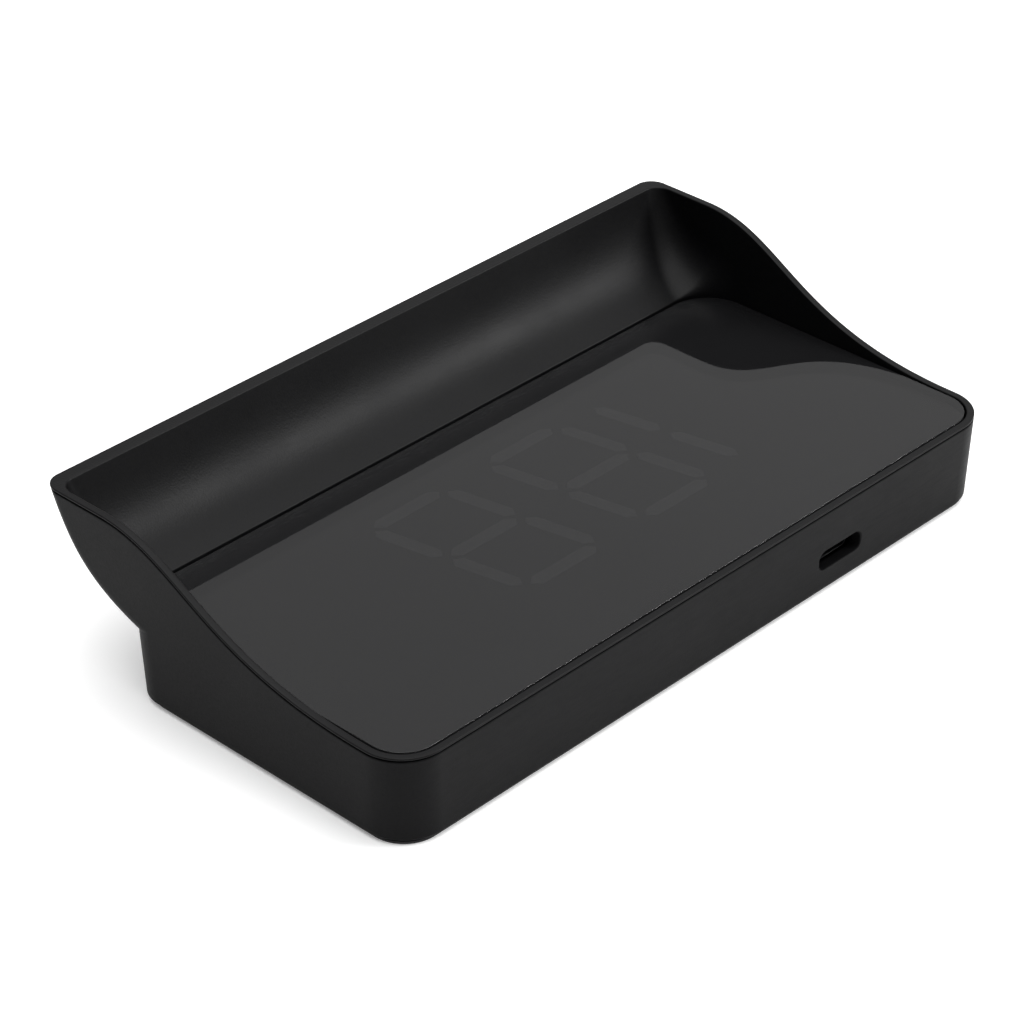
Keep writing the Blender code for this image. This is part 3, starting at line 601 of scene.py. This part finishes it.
def flat_ring(half_x, y_front, y_rear, front_r, rear_r, z):
    """A rounded rectangle with the rings' own spacing."""
    half = [((half_x - rear_r) * i / REAR_N, y_rear, z) for i in range(REAR_N + 1)]
    for k in range(1, CORNER_N + 1):
        phi = math.radians(90.0) * k / CORNER_N
        half.append((half_x - rear_r * (1 - math.sin(phi)), y_rear - rear_r * (1 - math.cos(phi)), z))
    for j in range(1, SIDE_N + 1):
        half.append((half_x, y_rear - rear_r + (y_front + front_r - y_rear + rear_r) * side_share(j / SIDE_N), z))
    for k in range(1, CORNER_N + 1):
        phi = math.radians(90.0) * (1 - k / CORNER_N)
        half.append((half_x - front_r * (1 - math.sin(phi)), y_front + front_r * (1 - math.cos(phi)), z))
    half += [((half_x - front_r) * (1 - i / FRONT_N), y_front, z) for i in range(1, FRONT_N + 1)]
    return both_sides(half)


def outward(ring):
    """The plan direction out of the housing at each point of a ring."""
    out = []
    for i in range(len(ring)):
        t = ring[(i + 1) % len(ring)] - ring[i - 1]
        out.append(Vector((-t.y, t.x, 0.0)).normalized())
    return out


def top_round(rings, radius, drop, side, steps=5):
    """Rings that round a wall's top edge over on to the rim's surface, drop below the rim; side is 1 away from the middle and -1 towards it."""
    edge, below = rings[-1], rings[-2]
    out = [[] for _ in range(steps)]
    for a, b, n in zip(edge, below, outward(edge)):
        d = a - b
        d = d / max(d.z, 1e-6) * radius
        corner = a + d
        end = corner + n * side * radius
        end.z = rim_height(end.y) - drop
        corner.z = rim_height(corner.y) - drop
        for i in range(steps):
            t = (i + 1) / steps
            w0, w1, w2 = (1 - t) ** 2, 2 * t * (1 - t) * 0.7071, t * t
            out[i].append((a * w0 + corner * w1 + end * w2) / (w0 + w1 + w2))
    return out


def on_rim(a, b, share, drop=0.0):
    """A ring part of the way from ring a to ring b, on the rim's surface."""
    out = []
    for p, q in zip(a, b):
        m = p.lerp(q, share)
        m.z = rim_height(m.y) - drop
        out.append(m)
    return out


def ring_solid(rings):
    """A closed ring-shaped solid from rings listed round its section."""
    bm = bmesh.new()
    verts = [[bm.verts.new(p * MM) for p in ring] for ring in rings]
    count = len(rings[0])
    for a, b in zip(verts, verts[1:] + verts[:1]):
        for i in range(count):
            j = (i + 1) % count
            bm.faces.new((a[i], b[i], b[j], a[j]))
    bmesh.ops.remove_doubles(bm, verts=bm.verts, dist=1e-6)
    bmesh.ops.recalc_face_normals(bm, faces=bm.faces)
    if bm.calc_volume(signed=True) < 0:
        bmesh.ops.reverse_faces(bm, faces=bm.faces)
    return bm


# ---------------------------------------------------------------- outer casing

inner_rear = BASE_REAR_Y - 1.8
well_front = front_y(CASE_BOTTOM_Z) + FRONT_WALL
inner_half = half_width(CASE_BOTTOM_Z) - BASE_WALL
cover_corner = [FRONT_CORNER_R - FRONT_WALL] * 2 + [BASE_CORNER_R - 1.8] * 2
view_wall = LAP_WALL + GAP + SKIRT
ledge_z = WINDOW_TOP_Z - WINDOW_T - TAPE_T - 2 * GAP


HOOD_LINE = bezier(HOOD_BACK, 96)[::-1]
HOOD_LINE = [(HOOD_LINE[0][0] - 9.0 + 1.5 * i, HOOD_LINE[0][1] + (-9.0 + 1.5 * i) * 0.339) for i in range(6)] + HOOD_LINE


def hood_point(s, inset):
    """The point at index s of the hood's outer line, moved inward."""
    i = min(int(s), len(HOOD_LINE) - 2)
    a, b = HOOD_LINE[i], HOOD_LINE[i + 1]
    n0, n1 = (offset_curve(HOOD_LINE[max(j - 1, 0):j + 2], 1.0)[1 if j else 0] for j in (i, i + 1))
    f = s - i
    n = (n0[0] - a[0] + (n1[0] - b[0] - n0[0] + a[0]) * f, n0[1] - a[1] + (n1[1] - b[1] - n0[1] + a[1]) * f)
    return a[0] + (b[0] - a[0]) * f + n[0] * inset, a[1] + (b[1] - a[1]) * f + n[1] * inset


def hood_index(y, inset):
    lo, hi = 0.0, 60.0
    for _ in range(30):
        mid = (lo + hi) / 2
        if hood_point(mid, inset)[0] < y:
            lo = mid
        else:
            hi = mid
    return (lo + hi) / 2


def edge_inset(q):
    """How far the hood's surface has turned in at distance q from its side."""
    return 0.0 if q >= HOOD_EDGE_R else HOOD_EDGE_R * (1 - math.sqrt(1 - (1 - q / HOOD_EDGE_R) ** 2))


def outer_columns(bottom, top_z, strip=5):
    """Columns round the casing's rear corner: the base's corner, the hood's underside down to it, and the hood's edge."""
    slope = 0.3 / 12.5
    crease = hood_index(BASE_REAR_Y, 0.0)
    back = [hood_point(crease, 0.0)] + [hood_point(float(i), 0.0) for i in range(int(crease) + 2, len(HOOD_LINE) - 1, 2)] + [HOOD_LINE[-1]]
    upper = columns(back, [HOOD_EDGE_R] * len(back), 1, top_z)
    out = []
    for k in range(CORNER_N + 1):
        phi = math.radians(90.0) * k / CORNER_N
        q = BASE_CORNER_R * (1 - math.sin(phi))
        turn = BASE_CORNER_R * (1 - math.cos(phi))

        def base_y(z):
            return BASE_REAR_Y - 0.3 + slope * (z - CASE_BOTTOM_Z) - turn

        y = base_y(13.0)
        for _ in range(3):
            meet = hood_index(y, edge_inset(q))
            z = hood_point(meet, edge_inset(q))[1]
            y = base_y(z)
        column = [(q, base_y(bottom + (z - bottom) * t), bottom + (z - bottom) * t) for t in (0.0, 0.2, 0.4, 0.6, 0.8, 0.97)]
        q_end = HOOD_EDGE_R * (1 - math.sin(phi)) if k else q
        for i in range(strip + 1):
            t = i / strip
            qi = q + (q_end - q) * t
            column.append((qi, *hood_point(meet + (crease - meet) * t, edge_inset(qi))))
        column += [(HOOD_EDGE_R * (1 - math.sin(phi)), py, pz) for py, pz, r in upper[k][1:]]
        out.append(column)
    return out


def casing():
    foot = 0.4
    rear_corner = outer_columns(CASE_BOTTOM_Z + foot, CASE_HEIGHT - PARTING_DROP - 0.2)
    outer = wall_rings(rear_corner, 0.0, front_y, FRONT_CORNER_R, PARTING_DROP + 0.2, CASE_BOTTOM_Z + foot)
    bottom = []
    for i in range(5):
        a = math.radians(90.0) * i / 5
        ring = []
        for p, n in zip(outer[0], outward(outer[0])):
            q = p - n * foot * (1 - math.sin(a))
            ring.append(Vector((q.x, q.y, CASE_BOTTOM_Z + foot * (1 - math.cos(a)))))
        bottom.append(ring)
    inside = cut_below(hood(HOOD_CASE_WALL), inner_rear)
    lap_line = [(inner_rear, LAP_FLOOR_Z), (inner_rear, (LAP_FLOOR_Z + inside[0][1]) / 2)] + inside
    lap_radii = [BASE_CORNER_R - 1.8] * 2 + [HOOD_EDGE_R - HOOD_CASE_WALL] * len(inside)
    lap_cols = with_share(columns(lap_line, lap_radii, 2, CASE_HEIGHT - PARTING_DROP - 0.08))
    lap = wall_rings(lap_cols, LAP_WALL, lambda z: FRONT_Y + LAP_WALL, FRONT_CORNER_R - LAP_WALL, PARTING_DROP + 0.08, LAP_FLOOR_Z)
    well = [flat_ring(inner_half, well_front, inner_rear - 0.1, cover_corner[0], cover_corner[2], z) for z in (LAP_FLOOR_Z, CASE_BOTTOM_Z)]
    rings = bottom + outer + top_round(outer, 0.2, PARTING_DROP, -1, 5) + top_round(lap, 0.08, PARTING_DROP, 1, 2)[::-1] + lap[::-1] + well
    bm = ring_solid(rings)
    steps = []
    for x, y in SCREW_AT:
        side = 1 if x > 0 else -1
        steps.append((block(min(x - 2.9 * side, 68.3 * side), max(x - 2.9 * side, 68.3 * side), y - 3.1, y + 3.1, 5.2, 7.5), "UNION"))
    for x, y in SCREW_AT:
        steps.append((cylinder(x, y, 4.0, 9.0, 1.4), "DIFFERENCE"))
    steps.append((mouth(USB_X, USB_Z, USB_SLOT_W, USB_SLOT_H, 1.5, front_y(USB_Z), well_front + 1, 0.28, -1), "DIFFERENCE"))
    steps.append((mouth(BUTTON_X, CONTROL_Z, 8.6, 4.2, 2.0, BASE_REAR_Y - 0.15, inner_rear - 1, 0.25, 1), "DIFFERENCE"))
    steps.append((mouth(SWITCH_X, CONTROL_Z, 4.8, 2.4, 0.3, BASE_REAR_Y - 0.15, inner_rear - 1, 0.25, 1), "DIFFERENCE"))
    return carve(bm, steps)


shell = make("casing_shell", casing(), MATS["black_abs"])
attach(shell, "root")
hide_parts("outer_casing")


# ---------------------------------------------------------------- bezel and hood liner


def liner():
    sill_y = WINDOW_REAR_Y
    trough = cut_below(hood(HOOD_THICKNESS, 64), sill_y)
    line = [(sill_y, 15.2), (sill_y, 15.6)] + trough
    line = round_corner(line, 2, SILL_R, 5)
    rise = 8
    radii = []
    for i in range(len(line)):
        t = min(1.0, max(0.0, (i - rise) / (len(line) - 1 - rise)))
        radii.append(WINDOW_REAR_R + GAP - (WINDOW_REAR_R + GAP - 2.4) * t)
    hollow_cols = with_share(columns(line, radii, rise, CASE_HEIGHT - LIP_R))
    hollow = wall_rings(hollow_cols, view_wall, lambda z: FRONT_Y + view_wall, WINDOW_FRONT_R + GAP, LIP_R, ledge_z)

    under = cut_below(hood(HOOD_CASE_WALL + GAP), sill_y + 0.05)
    under = [(under[0][0], under[0][1] - 0.1), (under[0][0], under[0][1] - 0.05)] + under
    under_radii = []
    for i in range(len(under)):
        t = min(1.0, max(0.0, (i - 2) / 8))
        under_radii.append(BASE_CORNER_R - 2.1 + (HOOD_EDGE_R - HOOD_CASE_WALL - GAP - BASE_CORNER_R + 2.1) * t)
    skirt_cols = with_share(columns(under, under_radii, 3, CASE_HEIGHT - 0.35))
    skirt = wall_rings(skirt_cols, LAP_WALL + GAP, lambda z: FRONT_Y + LAP_WALL + GAP, FRONT_CORNER_R - LAP_WALL - GAP, 0.35, LAP_FLOOR_Z + GAP)

    profile = [p for p in HOOD_LINE if p[1] >= 20.0]

    def outer(drop):
        cols = with_share(columns(profile, [HOOD_EDGE_R] * len(profile), 1, CASE_HEIGHT - drop))
        return wall_rings(cols, 0.0, front_y, FRONT_CORNER_R, drop, RIM_FRONT_Z - 3.0)

    rim_side = outer(RIM_R)
    rim_low = outer(0.30)[-1]
    rim_foot = [Vector((p.x - n.x * 0.05, p.y - n.y * 0.05, p.z - 0.05)) for p, n in zip(rim_low, outward(rim_low))]
    lip = top_round(hollow, LIP_R, 0.0, 1, 5)
    edge = top_round(rim_side, RIM_R, 0.0, -1, 5)

    side_start, total = REAR_N + CORNER_N, REAR_N + 2 * CORNER_N + SIDE_N + FRONT_N
    well_top, well_low = [], []
    for s, (p, q, n) in enumerate(zip(hollow[0], skirt[0], outward(hollow[0]))):
        i = s if s <= total else 2 * total - s
        g = min(1.0, max(0.0, (i - side_start) / 8))
        x, y = p.x - n.x * (0.04 + (LEDGE_W - 0.04) * g), p.y - n.y * (0.04 + (LEDGE_W - 0.04) * g)
        well_top.append(Vector((x, y, p.z)))
        well_low.append(Vector((x, y, min(p.z - 0.03, q.z))))
    rings = [well_low, well_top] + hollow + lip + [on_rim(lip[-1], edge[-1], t) for t in (0.33, 0.67)] + edge[::-1] + [rim_side[-1], rim_low, rim_foot] + skirt[::-1]
    bm = ring_solid(rings)
    steps = []
    for x, y in SCREW_AT:
        side = 1 if x > 0 else -1
        steps.append((cylinder(x, y, 7.8, ledge_z - 0.5, 2.4), "UNION"))
        steps.append((block(min(x - 2.4 * side, x + 3.2 * side), max(x - 2.4 * side, x + 3.2 * side), y - 2.8, y + 2.8, LAP_FLOOR_Z + GAP + 0.1, ledge_z - 0.1), "UNION"))
    for x, y in SCREW_AT:
        steps.append((cylinder(x, y, 6.0, ledge_z - 0.9, 1.25, 24), "DIFFERENCE"))
    return carve(bm, steps)


bezel = make("bezel_liner", liner(), MATS["liner_abs"])
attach(bezel, "root")
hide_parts("bezel_hood_liner")


# ---------------------------------------------------------------- window and what shows through it

window_x = half_width(WINDOW_TOP_Z) - view_wall - GAP - 0.05
window_y = FRONT_Y + view_wall + GAP
window_r = [WINDOW_FRONT_R, WINDOW_FRONT_R, WINDOW_REAR_R, WINDOW_REAR_R]
window_bm = prism(rounded(-window_x, window_x, window_y, WINDOW_REAR_Y - GAP, window_r, 16), WINDOW_TOP_Z - WINDOW_T, WINDOW_TOP_Z)
ease(window_bm, lambda e, m: m.z > WINDOW_TOP_Z - 0.05, 0.08, 3)
ease(window_bm, lambda e, m: m.z < WINDOW_TOP_Z - WINDOW_T + 0.05, 0.08, 2)
lens = make("window_lens", window_bm, MATS["tinted_acrylic"])
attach(lens, "root")
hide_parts("display_window")


def stroke(x0, y0, x1, y1, width=STROKE):
    length = math.hypot(x1 - x0, y1 - y0)
    dx, dy = (x1 - x0) / length, (y1 - y0) / length
    h = width / 2
    return [(x0, y0), (x0 + dx * h + dy * h, y0 + dy * h - dx * h), (x1 - dx * h + dy * h, y1 - dy * h - dx * h), (x1, y1), (x1 - dx * h - dy * h, y1 - dy * h + dx * h), (x0 + dx * h - dy * h, y0 + dy * h + dx * h)]


def digit_strokes(cx, cy):
    w, h, gap = DIGIT_HALF_W, DIGIT_HALF_H, 0.75

    def at(x, y):
        return (cx + x + DIGIT_SLANT * y, cy + y)

    ends = [((-w + gap, h), (w - gap, h)), ((-w + gap, 0), (w - gap, 0)), ((-w + gap, -h), (w - gap, -h))]
    for x in (-w, w):
        ends += [((x, h - gap), (x, gap)), ((x, -gap), (x, gap - h))]
    return [stroke(*at(*a), *at(*b)) for a, b in ends]


strokes = digit_strokes(*DIGIT_AT[0]) + digit_strokes(*DIGIT_AT[1])
for sign in (1, -1):
    a, b = sign * (DIGIT_HALF_H - 0.75), sign * 0.75
    strokes.append(stroke(ONE_X + DIGIT_SLANT * a, ONE_Y + a, ONE_X + DIGIT_SLANT * b, ONE_Y + b))

# The window's underside carries a black print that only the digits are cut out of; over the solar cells it lets infrared through
print_top = WINDOW_TOP_Z - WINDOW_T - 0.02
print_bottom = print_top - 0.06
sheet_bm = prism(rounded(-window_x + 0.5, window_x - 0.5, window_y + 0.5, WINDOW_REAR_Y - GAP - 0.5, [r - 0.5 for r in window_r], 12), print_bottom, print_top)
openings = [(prism(s, print_bottom - 1, print_top + 1), "DIFFERENCE") for s in strokes]
window_print = make("window_print", carve(sheet_bm, openings), PRINT_BLACK, 0, False)
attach(window_print, "root")

# Diffusing film, raised into the digits of the mask
film_lo, film_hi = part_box("diffuser_film")
film_bm = block(film_lo.x / MM, film_hi.x / MM, film_lo.y / MM, film_hi.y / MM, film_lo.z / MM, film_hi.z / MM)
raised = []
for s in strokes:
    cx, cy = sum(p[0] for p in s) / 6, sum(p[1] for p in s) / 6
    raised.append((prism([(cx + (x - cx) * 0.97, cy + (y - cy) * 0.97) for x, y in s], film_lo.z / MM + 0.1, print_top - 0.01), "UNION"))
film = make("digit_film", carve(film_bm, raised), MATS["diffuser_film"], 30)
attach(film, "root")
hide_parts("diffuser_film")


# ---------------------------------------------------------------- pad

pad_half = half_width(CASE_BOTTOM_Z) - PAD_INSET
pad_front, pad_rear = front_y(CASE_BOTTOM_Z) + PAD_INSET, BASE_REAR_Y - 0.3 - PAD_INSET
pad_bm = prism(rounded(-pad_half, pad_half, pad_front, pad_rear, PAD_CORNER_R, 14), 0.0, PAD_T)
ease(pad_bm, lambda e, m: True, 0.1, 3)
groove = []
for inset, depth in ((2.0, 0.16), (3.4, 0.16)):
    outer = prism(rounded(-pad_half + inset, pad_half - inset, pad_front + inset, pad_rear - inset, PAD_CORNER_R - inset, 14), -1.0, depth)
    inner = prism(rounded(-pad_half + inset + 0.6, pad_half - inset - 0.6, pad_front + inset + 0.6, pad_rear - inset - 0.6, PAD_CORNER_R - inset - 0.6, 14), -2.0, 2.0)
    groove.append((carve(outer, [(inner, "DIFFERENCE")]), "DIFFERENCE"))
pad = make("grip_pad", carve(pad_bm, groove), MATS["black_silicone"])
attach(pad, "root")
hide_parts("anti_slip_pad")


# ---------------------------------------------------------------- button and switch knob

button_lo, button_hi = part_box("function_button")


def capsule_ring(x, z, w, h, r, y, grow=0.0):
    return [(px, y, pz) for px, pz in rounded(x - w / 2 - grow, x + w / 2 + grow, z - h / 2 - grow, z + h / 2 + grow, max(r + grow, 0.02), 10)]


face_y = button_hi.y / MM
cap = [capsule_ring(BUTTON_X, CONTROL_Z, 8.0, 3.6, 1.75, inner_rear - 0.7)]
for k in range(7):
    a = math.radians(90.0) * k / 6
    cap.append(capsule_ring(BUTTON_X, CONTROL_Z, 8.0, 3.6, 1.75, face_y - 0.45 * (1 - math.sin(a)), -0.45 * (1 - math.cos(a))))
cap.append(capsule_ring(BUTTON_X, CONTROL_Z, 5.6, 1.7, 0.8, face_y - 0.03))
cap.append(capsule_ring(BUTTON_X, CONTROL_Z, 4.4, 1.0, 0.45, face_y - 0.14))
button_bm = carve(loft(cap), [
    (loft([capsule_ring(BUTTON_X, CONTROL_Z, 10.4, 3.5, 1.2, inner_rear - 1.4), capsule_ring(BUTTON_X, CONTROL_Z, 10.4, 3.5, 1.2, inner_rear - GAP)]), "UNION"),
    (block(BUTTON_X - 1.0, BUTTON_X + 1.0, button_lo.y / MM, inner_rear - 0.5, CONTROL_Z - 0.9, CONTROL_Z + 0.9), "UNION"),
])
button = make("button_cap", button_bm, MATS["black_abs"], 40)
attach(button, "function_button")
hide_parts("function_button")

knob_lo, knob_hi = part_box("power_knob")
kx0, kx1, kz0, kz1 = knob_lo.x / MM, knob_hi.x / MM, knob_lo.z / MM, knob_hi.z / MM
knob_bm = block(kx0, kx1, knob_lo.y / MM, knob_hi.y / MM, kz0, kz1)
ease(knob_bm, lambda e, m: m.y > knob_lo.y / MM + 0.1, 0.12, 3)
ribs = [(block(kx0 + 0.45 + 0.38 * k - 0.09, kx0 + 0.45 + 0.38 * k + 0.09, knob_hi.y / MM - 0.2, knob_hi.y / MM + 1.0, kz0 - 1.0, kz1 + 1.0), "DIFFERENCE") for k in range(3)]
knob = make("switch_knob", carve(knob_bm, ribs), MATS["component_black"])
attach(knob, "power_knob")
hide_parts("power_knob")


# ---------------------------------------------------------------- USB socket

usb_lo, usb_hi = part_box("usb_shell")
uy0, uy1 = usb_lo.y / MM, usb_hi.y / MM
rings = []
for y, grow in ((uy1, -0.25), (uy1 - 0.25, 0.0), (uy0 + 0.12, 0.0), (uy0 + 0.03, -0.05), (uy0, -0.13)):
    rings.append(capsule_ring(USB_X, USB_Z, 8.94, 3.2, 1.4, y, grow))
hollow = [capsule_ring(USB_X, USB_Z, 8.3, 2.56, 1.1, uy1 - 0.5), capsule_ring(USB_X, USB_Z, 8.3, 2.56, 1.1, uy0 + 0.1), capsule_ring(USB_X, USB_Z, 8.3, 2.56, 1.1, uy0 - 0.1, 0.13), capsule_ring(USB_X, USB_Z, 8.3, 2.56, 1.1, uy0 - 1.0, 0.13)]
seam = block(USB_X - 0.04, USB_X + 0.04, uy0 - 1.0, uy1 - 1.0, USB_Z + 1.5, USB_Z + 2.0)
# The socket shell takes the darkened metal, painted shade for the recessed slot.
usb = make("usb_socket_shell", carve(loft(rings), [(loft(hollow), "DIFFERENCE"), (seam, "DIFFERENCE")]), SOCKET_PAINTED_SHADE)
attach(usb, "root")
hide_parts("usb_shell")

tongue_lo, tongue_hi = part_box("usb_tongue")
ty0, ty1 = tongue_lo.y / MM, tongue_hi.y / MM
blade = block(USB_X - 3.35, USB_X + 3.35, ty0, ty1 - 0.8, USB_Z - 0.35, USB_Z + 0.35)
ease(blade, lambda e, m: m.y < ty0 + 0.05 or abs(abs(m.x - USB_X) - 3.35) < 0.05, 0.14, 3)
wells = []
for k in range(12):
    x = USB_X - 2.75 + 0.5 * k
    for s in (1, -1):
        z0, z1 = sorted((USB_Z + s * 0.29, USB_Z + s * 1.0))
        wells.append((block(x - 0.14, x + 0.14, ty0 + 0.5, ty1 - 1.4, z0, z1), "DIFFERENCE"))
wells.append((block(USB_X - 3.7, USB_X + 3.7, ty1 - 1.4, ty1, USB_Z - 0.9, USB_Z + 0.9), "UNION"))
tongue = make("usb_socket_tongue", carve(blade, wells), MATS["component_black"])
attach(tongue, "root")
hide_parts("usb_tongue")

contacts = bmesh.new()
for k in range(12):
    x = USB_X - 2.75 + 0.5 * k
    for s in (1, -1):
        z0, z1 = sorted((USB_Z + s * 0.295, USB_Z + s * 0.34))
        bit = block(x - 0.125, x + 0.125, ty0 + 0.52, ty1 - 1.42, z0, z1)
        mesh = bpy.data.meshes.new("contact")
        bit.to_mesh(mesh)
        bit.free()
        contacts.from_mesh(mesh)
        bpy.data.meshes.remove(mesh)
gold = make("usb_contacts", contacts, CONTACT_GOLD, 0, False)
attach(gold, "root")


# ---------------------------------------------------------------- studio


def floor_material():
    mat, tree, bsdf, coords = nodes_for("studio_floor")
    cloud = noise(tree, coords, 3.0, 2.0)
    tree.links.new(blend_colour(tree, ramp(tree, cloud, 0.0, 1.0), (0.95, 0.95, 0.95), (0.97, 0.97, 0.97)), bsdf.inputs["Base Color"])
    tree.links.new(ramp(tree, cloud, 0.85, 0.95), bsdf.inputs["Roughness"])
    bsdf.inputs["Specular IOR Level"].default_value = 0.0
    bsdf.inputs["Emission Color"].default_value = (1.0, 1.0, 1.0, 1.0)
    bsdf.inputs["Emission Strength"].default_value = 0.2
    return mat


floor_bm = bmesh.new()
bmesh.ops.create_grid(floor_bm, x_segments=8, y_segments=8, size=6.0)
floor = make("studio_floor", floor_bm, floor_material(), 0, False)

# Brightness of the room by the sine of the height above the horizon, as shares of SKY_STRENGTH
SKY = [(0.0, 0.04), (0.25, 0.12), (0.44, 0.29), (0.62, 0.20), (0.78, 0.50), (1.0, 1.0)]
SKY_LEAN = 0.75
SKY_STRENGTH = 2.2

world = bpy.data.worlds.new("studio")
bpy.context.scene.world = world
world.use_nodes = True
tree = world.node_tree
background = tree.nodes["Background"]
where = tree.nodes.new("ShaderNodeTexCoord")
split = tree.nodes.new("ShaderNodeSeparateXYZ")
tree.links.new(where.outputs["Generated"], split.inputs["Vector"])
sky = tree.nodes.new("ShaderNodeValToRGB")
tree.links.new(split.outputs["Z"], sky.inputs["Fac"])
sky.color_ramp.interpolation = "B_SPLINE"
for at, tone in SKY[1:-1]:
    sky.color_ramp.elements.new(at)
for element, (at, tone) in zip(sky.color_ramp.elements, SKY):
    element.position = at
    element.color = (tone, tone, tone, 1.0)
tree.links.new(sky.outputs["Color"], background.inputs["Color"])
lean = tree.nodes.new("ShaderNodeMath")
lean.operation = "MULTIPLY_ADD"
tree.links.new(split.outputs["X"], lean.inputs[0])
lean.inputs[1].default_value = SKY_LEAN * SKY_STRENGTH
lean.inputs[2].default_value = SKY_STRENGTH
tree.links.new(lean.outputs[0], background.inputs["Strength"])


def softbox(name, at, aim, size, power):
    data = bpy.data.lights.new(name, "AREA")
    data.shape = "RECTANGLE"
    data.size, data.size_y = size
    data.energy = power
    obj = bpy.data.objects.new(name, data)
    obj.location = at
    obj.rotation_euler = (Vector(aim) - Vector(at)).to_track_quat("-Z", "Y").to_euler()
    bpy.context.scene.collection.objects.link(obj)
    return obj


softbox("top_box", (0.0, 0.0, 1.1), (0.0, 0.0, 0.0), (1.2, 1.2), 6.0)
softbox("side_box", (0.73, -0.71, 0.66), (0.0, 0.03, 0.025), (0.5, 0.36), 6.0)

azimuth, elevation, roll = math.radians(-46.01808), math.radians(32.64919), math.radians(-0.359227)
back = Vector((math.sin(azimuth) * math.cos(elevation), -math.cos(azimuth) * math.cos(elevation), math.sin(elevation)))
right = Vector((0, 0, 1)).cross(back).normalized()
up = back.cross(right)
right, up = math.cos(roll) * right + math.sin(roll) * up, -math.sin(roll) * right + math.cos(roll) * up
place = Vector((0.0, 0.35, 0.1)) + right * 0.02107363 + up * -0.04920096 + back * 4.009005
place = Vector((place.x * 0.140, place.y * 0.140 - 0.0389, place.z * 0.140 + 0.0008))
camera_data = bpy.data.cameras.new("camera")
camera_data.sensor_width = 36.0
camera_data.lens = 120.762
camera_data.clip_start, camera_data.clip_end = 0.02, 60.0
camera = bpy.data.objects.new("camera", camera_data)
camera.matrix_world = Matrix(((right.x, up.x, back.x, place.x), (right.y, up.y, back.y, place.y), (right.z, up.z, back.z, place.z), (0, 0, 0, 1)))
bpy.context.scene.collection.objects.link(camera)
bpy.context.scene.camera = camera
bpy.context.scene.view_settings.view_transform = "Standard"
